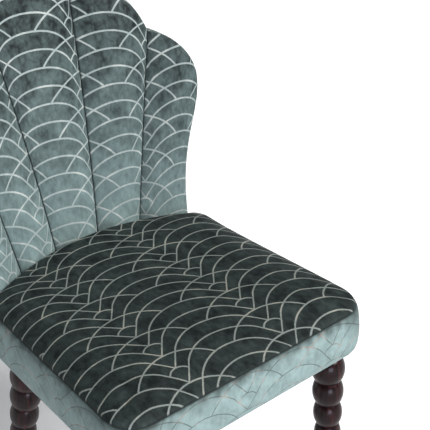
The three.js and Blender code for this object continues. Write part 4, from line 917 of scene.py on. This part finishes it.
for name, (kind, flip, column, lean, stretch, start, gathered) in lobes.items():
    sign = -1 if flip else 1
    grid = lobe_grid(kind, lobe_across, lobe_upward, tuck_rows, lobe_tuck, crowded=True)
    grid = {spot: (s, t, rolled(kind, s, x, up), up) for spot, (s, t, x, up) in grid.items()}
    bm = bmesh.new()
    bm.verts.layers.float.new("seam")
    points, share = net(bm, lobe_across, lobe_upward)
    seam = bm.verts.layers.float["seam"]
    cloth_place = {}
    for point in points:
        i, j = cell(point[share], lobe_across, lobe_upward)
        s, t, x, up = grid[i, j]
        crest = lobe_swell(up) - 0.002
        # Small dimples where the stitches of the seam pull.
        near = math.exp(-((min(s, 1 - s) - 0.09) / 0.06) ** 2)
        pull = 0.0007 * math.sin(2 * math.pi * up / stitch + 3 * s) * near
        lumps = 0.0012 * noise.noise(Vector((x * sign, up, 1)) * 22)
        swell = (crest + lumps + pull) * side_share(s, kind) * math.sqrt(max(1 - t ** 12, 0))
        point.co = back_place(sign * x, up, valley - swell)
        first, width = grid[0, j][2], grid[lobe_across, j][2] - grid[0, j][2]
        column_share = (sign * (column + lean * up) - first) / width
        reach = lobe_cloth(s, width, crest, kind) - lobe_cloth(column_share, width, crest, kind)
        from_seam = lobe_cloth(1, width, crest, kind) - abs(lobe_cloth(s, width, crest, kind))
        # Painted shade darkens a narrow, wavering strip along each seam.
        point[seam] = max(1 - from_seam / (0.003 + 0.0016 * noise.noise(Vector((up * 70, s, 7)))), 0)
        cloth_place[point] = (sign * gathered * reach, back_length(up) * stretch + start)
    lay_cloth(bm, cloth_place.get)
    for point in backing(bm):
        _, _, x, up = grid[cell(point[share], lobe_across, lobe_upward)]
        point.co = back_place(sign * x, up, lobe_rear)
        point[share].z = 1
    bm.verts.index_update()
    held = [v.index for v in bm.verts if v[share].z > 0.5
            or v[share].x in (0.0, 1.0) or v[share].y < 0.07 or v[share].y > 0.999
            or min(v[share].x, 1 - v[share].x) < 0.5 / lobe_across]
    lobe = finished("back_lobe_" + name, bm, back_velvet)
    sewn(lobe, held)
    fill_out(lobe, 4.0, 0.004)
    smoothed(lobe)
    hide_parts("lobe_cover_" + name, "lobe_foam_" + name)


# Edge band: a strip of the velvet over wadding round the whole scalloped edge, sewn to
# the lobes in front and to the outside back behind, and closed under the seat.
# Its two pile colours are painted shade and painted sheen, mixed a little lighter partway across the band.
band_velvet = figured_velvet(
    "figured_velvet_band", ("#1f2a2b", "#738687"), ("#767d77", "#9a978d"), 2.4,
    [(-20, 0.4), (20, 0.45), (60, 0.4)], streaks=0.4, sheen=0.12)


back_drop = 0.0832                     # the back ends this far below the seat's seam
panel_rear, frame_depth, frame_taper, wadding = 0.0252, 0.024, 0.010, 0.0046
band_low_front = -0.0052               # below the seam the band starts ahead of the lobes' rear


def behind_edge(up):
    """How far the outside back lies behind the middle surface: it thins from the foot to the top."""
    return panel_rear + frame_depth - frame_taper * clamped(up / back_height) + wadding


def outline_places(inset):
    """Points round the scalloped edge from the right foot to the left, notches kept."""
    steps = {"foot": 26, "outer": 18, "inner": 20, "middle": 16}
    straight = 6
    right = [(Vector((outline["foot"][0].x, -back_drop + back_drop * i / straight)), Vector((-1, 0)))
             for i in range(straight)]
    for name, count in steps.items():
        for i in range(count):
            share = i / count
            ahead = bezier(outline[name], share + 0.01) - bezier(outline[name], max(share - 0.01, 0))
            inward = Vector((-ahead.y, ahead.x)).normalized()
            right.append((bezier(outline[name], share), inward))
    i = straight
    for before in ("foot", "outer", "inner"):
        i += steps[before]
        last = outline[before][3] - bezier(outline[before], 0.98)
        normal = Vector((-last.y, last.x)).normalized()
        both = right[i][1] + normal
        right[i] = (right[i][0], both / (1 + right[i][1].dot(normal)))
    half = [p + n * inset for p, n in right]
    return half + [Vector((0, back_height - inset))] + [Vector((-p.x, p.y)) for p in half[::-1]]


# How far in from the edge each row of the band lies, and its share of the back's thickness.
band_rows = [(0.0014, 0.0), (0.0004, 0.06), (0.0, 0.18), (0.0, 0.5), (0.0, 0.82), (0.0004, 0.94),
             (0.0014, 1.0)]
edges_of_band = [outline_places(inset) for inset, _ in band_rows]
walk = [0.0]
for a, b in zip(edges_of_band[2], edges_of_band[2][1:]):
    walk.append(walk[-1] + (b - a).length)
bm = bmesh.new()
points, share = net(bm, len(walk) - 1, len(band_rows) - 1)
cloth_place = {}
for point in points:
    i, j = cell(point[share], len(walk) - 1, len(band_rows) - 1)
    place, depth = edges_of_band[j][i], band_rows[j][1]
    front = band_low_front if place.y < -0.001 else lobe_rear
    behind = front + (behind_edge(place.y) - 0.0008 - front) * depth
    point.co = back_place(place.x, place.y, behind)
    cloth_place[point] = (walk[i], behind)
lay_cloth(bm, cloth_place.get)
band = finished("back_edge_band_cloth", bm, band_velvet)
thickened(band)
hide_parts("back_edge_band", "back_edge_padding")


# Outside back: one panel of the velvet over thin wadding, cut to the same scallops and
# closed to the edge band by a blind seam. It bellies out a little between its edges.
# Painted sheen and shade: the pile is lighter at the foot and darker toward the top.
outside_velvet = figured_velvet(
    "figured_velvet_outside", ("#1c2626", "#6d8081"), ("#7d827b", "#97968c"), 2.7,
    [(-90, 0.6), (100, 0.45), (300, 0.3), (520, 0.2)], streaks=0.6, sheen=0.1)
bm = bmesh.new()
outside_across, outside_upward, outside_tuck = 14, 44, 8
for kind, flip, *_ in lobes.values():
    grid = lobe_grid(kind, outside_across, outside_upward, outside_tuck, back_drop, crowded=False)
    points, share = net(bm, outside_across, outside_upward)
    for point in points:
        _, _, x, up = grid[cell(point[share], outside_across, outside_upward)]
        point.co = (-x if flip else x, 0, up)
bmesh.ops.remove_doubles(bm, verts=bm.verts[:], dist=2e-5)
rim = {point for edge in bm.edges if edge.is_boundary for point in edge.verts}
flat = {point: (point.co.x, point.co.z) for point in bm.verts}
rim_places = [Vector(flat[point]) for point in rim]
for point, (x, up) in flat.items():
    edge = min((Vector((x, up)) - p).length for p in rim_places)
    lumps = 0.0008 * noise.noise(Vector((x, up, 5)) * 14) * min(edge / 0.03, 1)
    belly = 0.0035 * min(edge / 0.06, 1) ** 0.7 + lumps
    point.co = back_place(x, up, behind_edge(up) + 0.0015 - (0.001 if edge < 1e-5 else 0) + belly)
lay_cloth(bm, lambda point: (flat[point][0], back_length(flat[point][1])))
for point in backing(bm):
    up = point.co.z - seam_height
    point.co = back_place(point.co.x, up, behind_edge(up))
outside = finished("outside_back", bm, outside_velvet)
smoothed(outside)
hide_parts("outside_back_cover", "back_wadding")


# Bottom of the back: a strip of the same black lining that closes the back's
# thickness, from the dust cover's rear edge to the outside back.
low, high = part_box("back_bottom_lining")
overlap, strip_wider, strip_rear = 0.0003, 0.0025, 0.0528
bm = bmesh.new()
points, share = net(bm, 40, 4)
for point in points:
    s, t, _ = point[share]
    x = (high.x + strip_wider) * (2 * s - 1)
    dust_rear = seat_depth - dust_inset - seat_bow * (x / (seat_half_rear - dust_inset)) ** 2
    point.co = Vector((x, front_seam_y + dust_rear + overlap, 0)).lerp(back_place(x, 0, strip_rear), t)
    point.co.z = high.z - 0.0001
lay_cloth(bm)
bmesh.ops.solidify(bm, geom=bm.faces[:], thickness=0.0006)
centred(bm, low, high)
bottom = finished("back_bottom_sheet", bm, lining)
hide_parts("back_bottom_lining")


# Floor: a plain pale studio sweep, large enough to fill every view.
# White paper with the faintest mottling, lit a little from below as for a cut-out photograph.
paper = speckled("white_studio_paper", 3, "#f4f5f6", "#f7f8f8",
                 {"Roughness": 0.9, "Specular IOR Level": 0.1,
                  "Emission Color": linear("#f6f8fb"), "Emission Strength": 0.22})
bm = bmesh.new()
bmesh.ops.create_grid(bm, x_segments=1, y_segments=1, size=30)
bmesh.ops.translate(bm, verts=bm.verts[:], vec=(0, 0, -0.0003))
floor_mesh = bpy.data.meshes.new("floor")
bm.to_mesh(floor_mesh)
bm.free()
floor_mesh.materials.append(paper)
floor = bpy.data.objects.new("floor", floor_mesh)
scene.collection.objects.link(floor)


# Lights: one broad soft key, high in front and a little to the right, a wide low box in
# front of the legs, and a white room that is pale low down and dim above. The front is
# bright, and the flanks are lit by the floor alone.
def stand(name, data, aim, place=(0, 0, 0)):
    """Stands a lamp or the camera in the scene, looking the way of aim."""
    thing = bpy.data.objects.new(name, data)
    thing.location = place
    thing.rotation_mode = "QUATERNION"
    thing.rotation_quaternion = aim.to_track_quat("-Z", "Y")
    scene.collection.objects.link(thing)
    return thing


key = bpy.data.lights.new("key", "SUN")
key.angle, key.energy = math.radians(35), 4.85
key.color = linear("#fffdfa")[:3]
stand("key", key, Vector((-0.22, 0.73, -0.65)))
# The low box gives the turned legs their highlights.
box = bpy.data.lights.new("low_box", "AREA")
box.shape, box.size, box.size_y, box.energy = "RECTANGLE", 1.2, 0.7, 24
box.color = linear("#e9eaff")[:3]
box_place = Vector((-0.95, -2.45, 0.42))
stand("low_box", box, Vector((0, -0.1, 0.3)) - box_place, box_place).visible_camera = False
room = bpy.data.worlds.new("studio")
room.use_nodes = True
backdrop = room.node_tree.nodes["Background"]
backdrop.inputs["Color"].default_value = linear("#f6f8fb")
direction = add(room.node_tree, "TexCoord", {})
height = add(room.node_tree, "SeparateXYZ", {"Vector": direction.outputs["Generated"]})
glow = add(room.node_tree, "MapRange", {
    "From Min": 0.05, "From Max": 0.22, "To Min": 1.05, "To Max": 0.12, "Value": height.outputs["Z"]})
room.node_tree.links.new(glow.outputs["Result"], backdrop.inputs["Strength"])
scene.world = room
scene.view_settings.view_transform = "Standard"


# Camera: the photograph's view, from the front left and above, on a long lens.
sensor, focal_pixels, frame_pixels = 36.0, 1206.0, 430.0
turn, tilt, distance = math.radians(-41.26), math.radians(30.56), 1.845
target = Vector((0.04876, -0.16624, 0.6312))
back = Vector((math.sin(turn) * math.cos(tilt), -math.cos(turn) * math.cos(tilt), math.sin(tilt)))
lens = bpy.data.cameras.new("camera")
lens.sensor_width, lens.lens = sensor, focal_pixels / frame_pixels * sensor
lens.clip_start, lens.clip_end = 0.05, 60
scene.camera = stand("camera", lens, -back, target + back * distance)
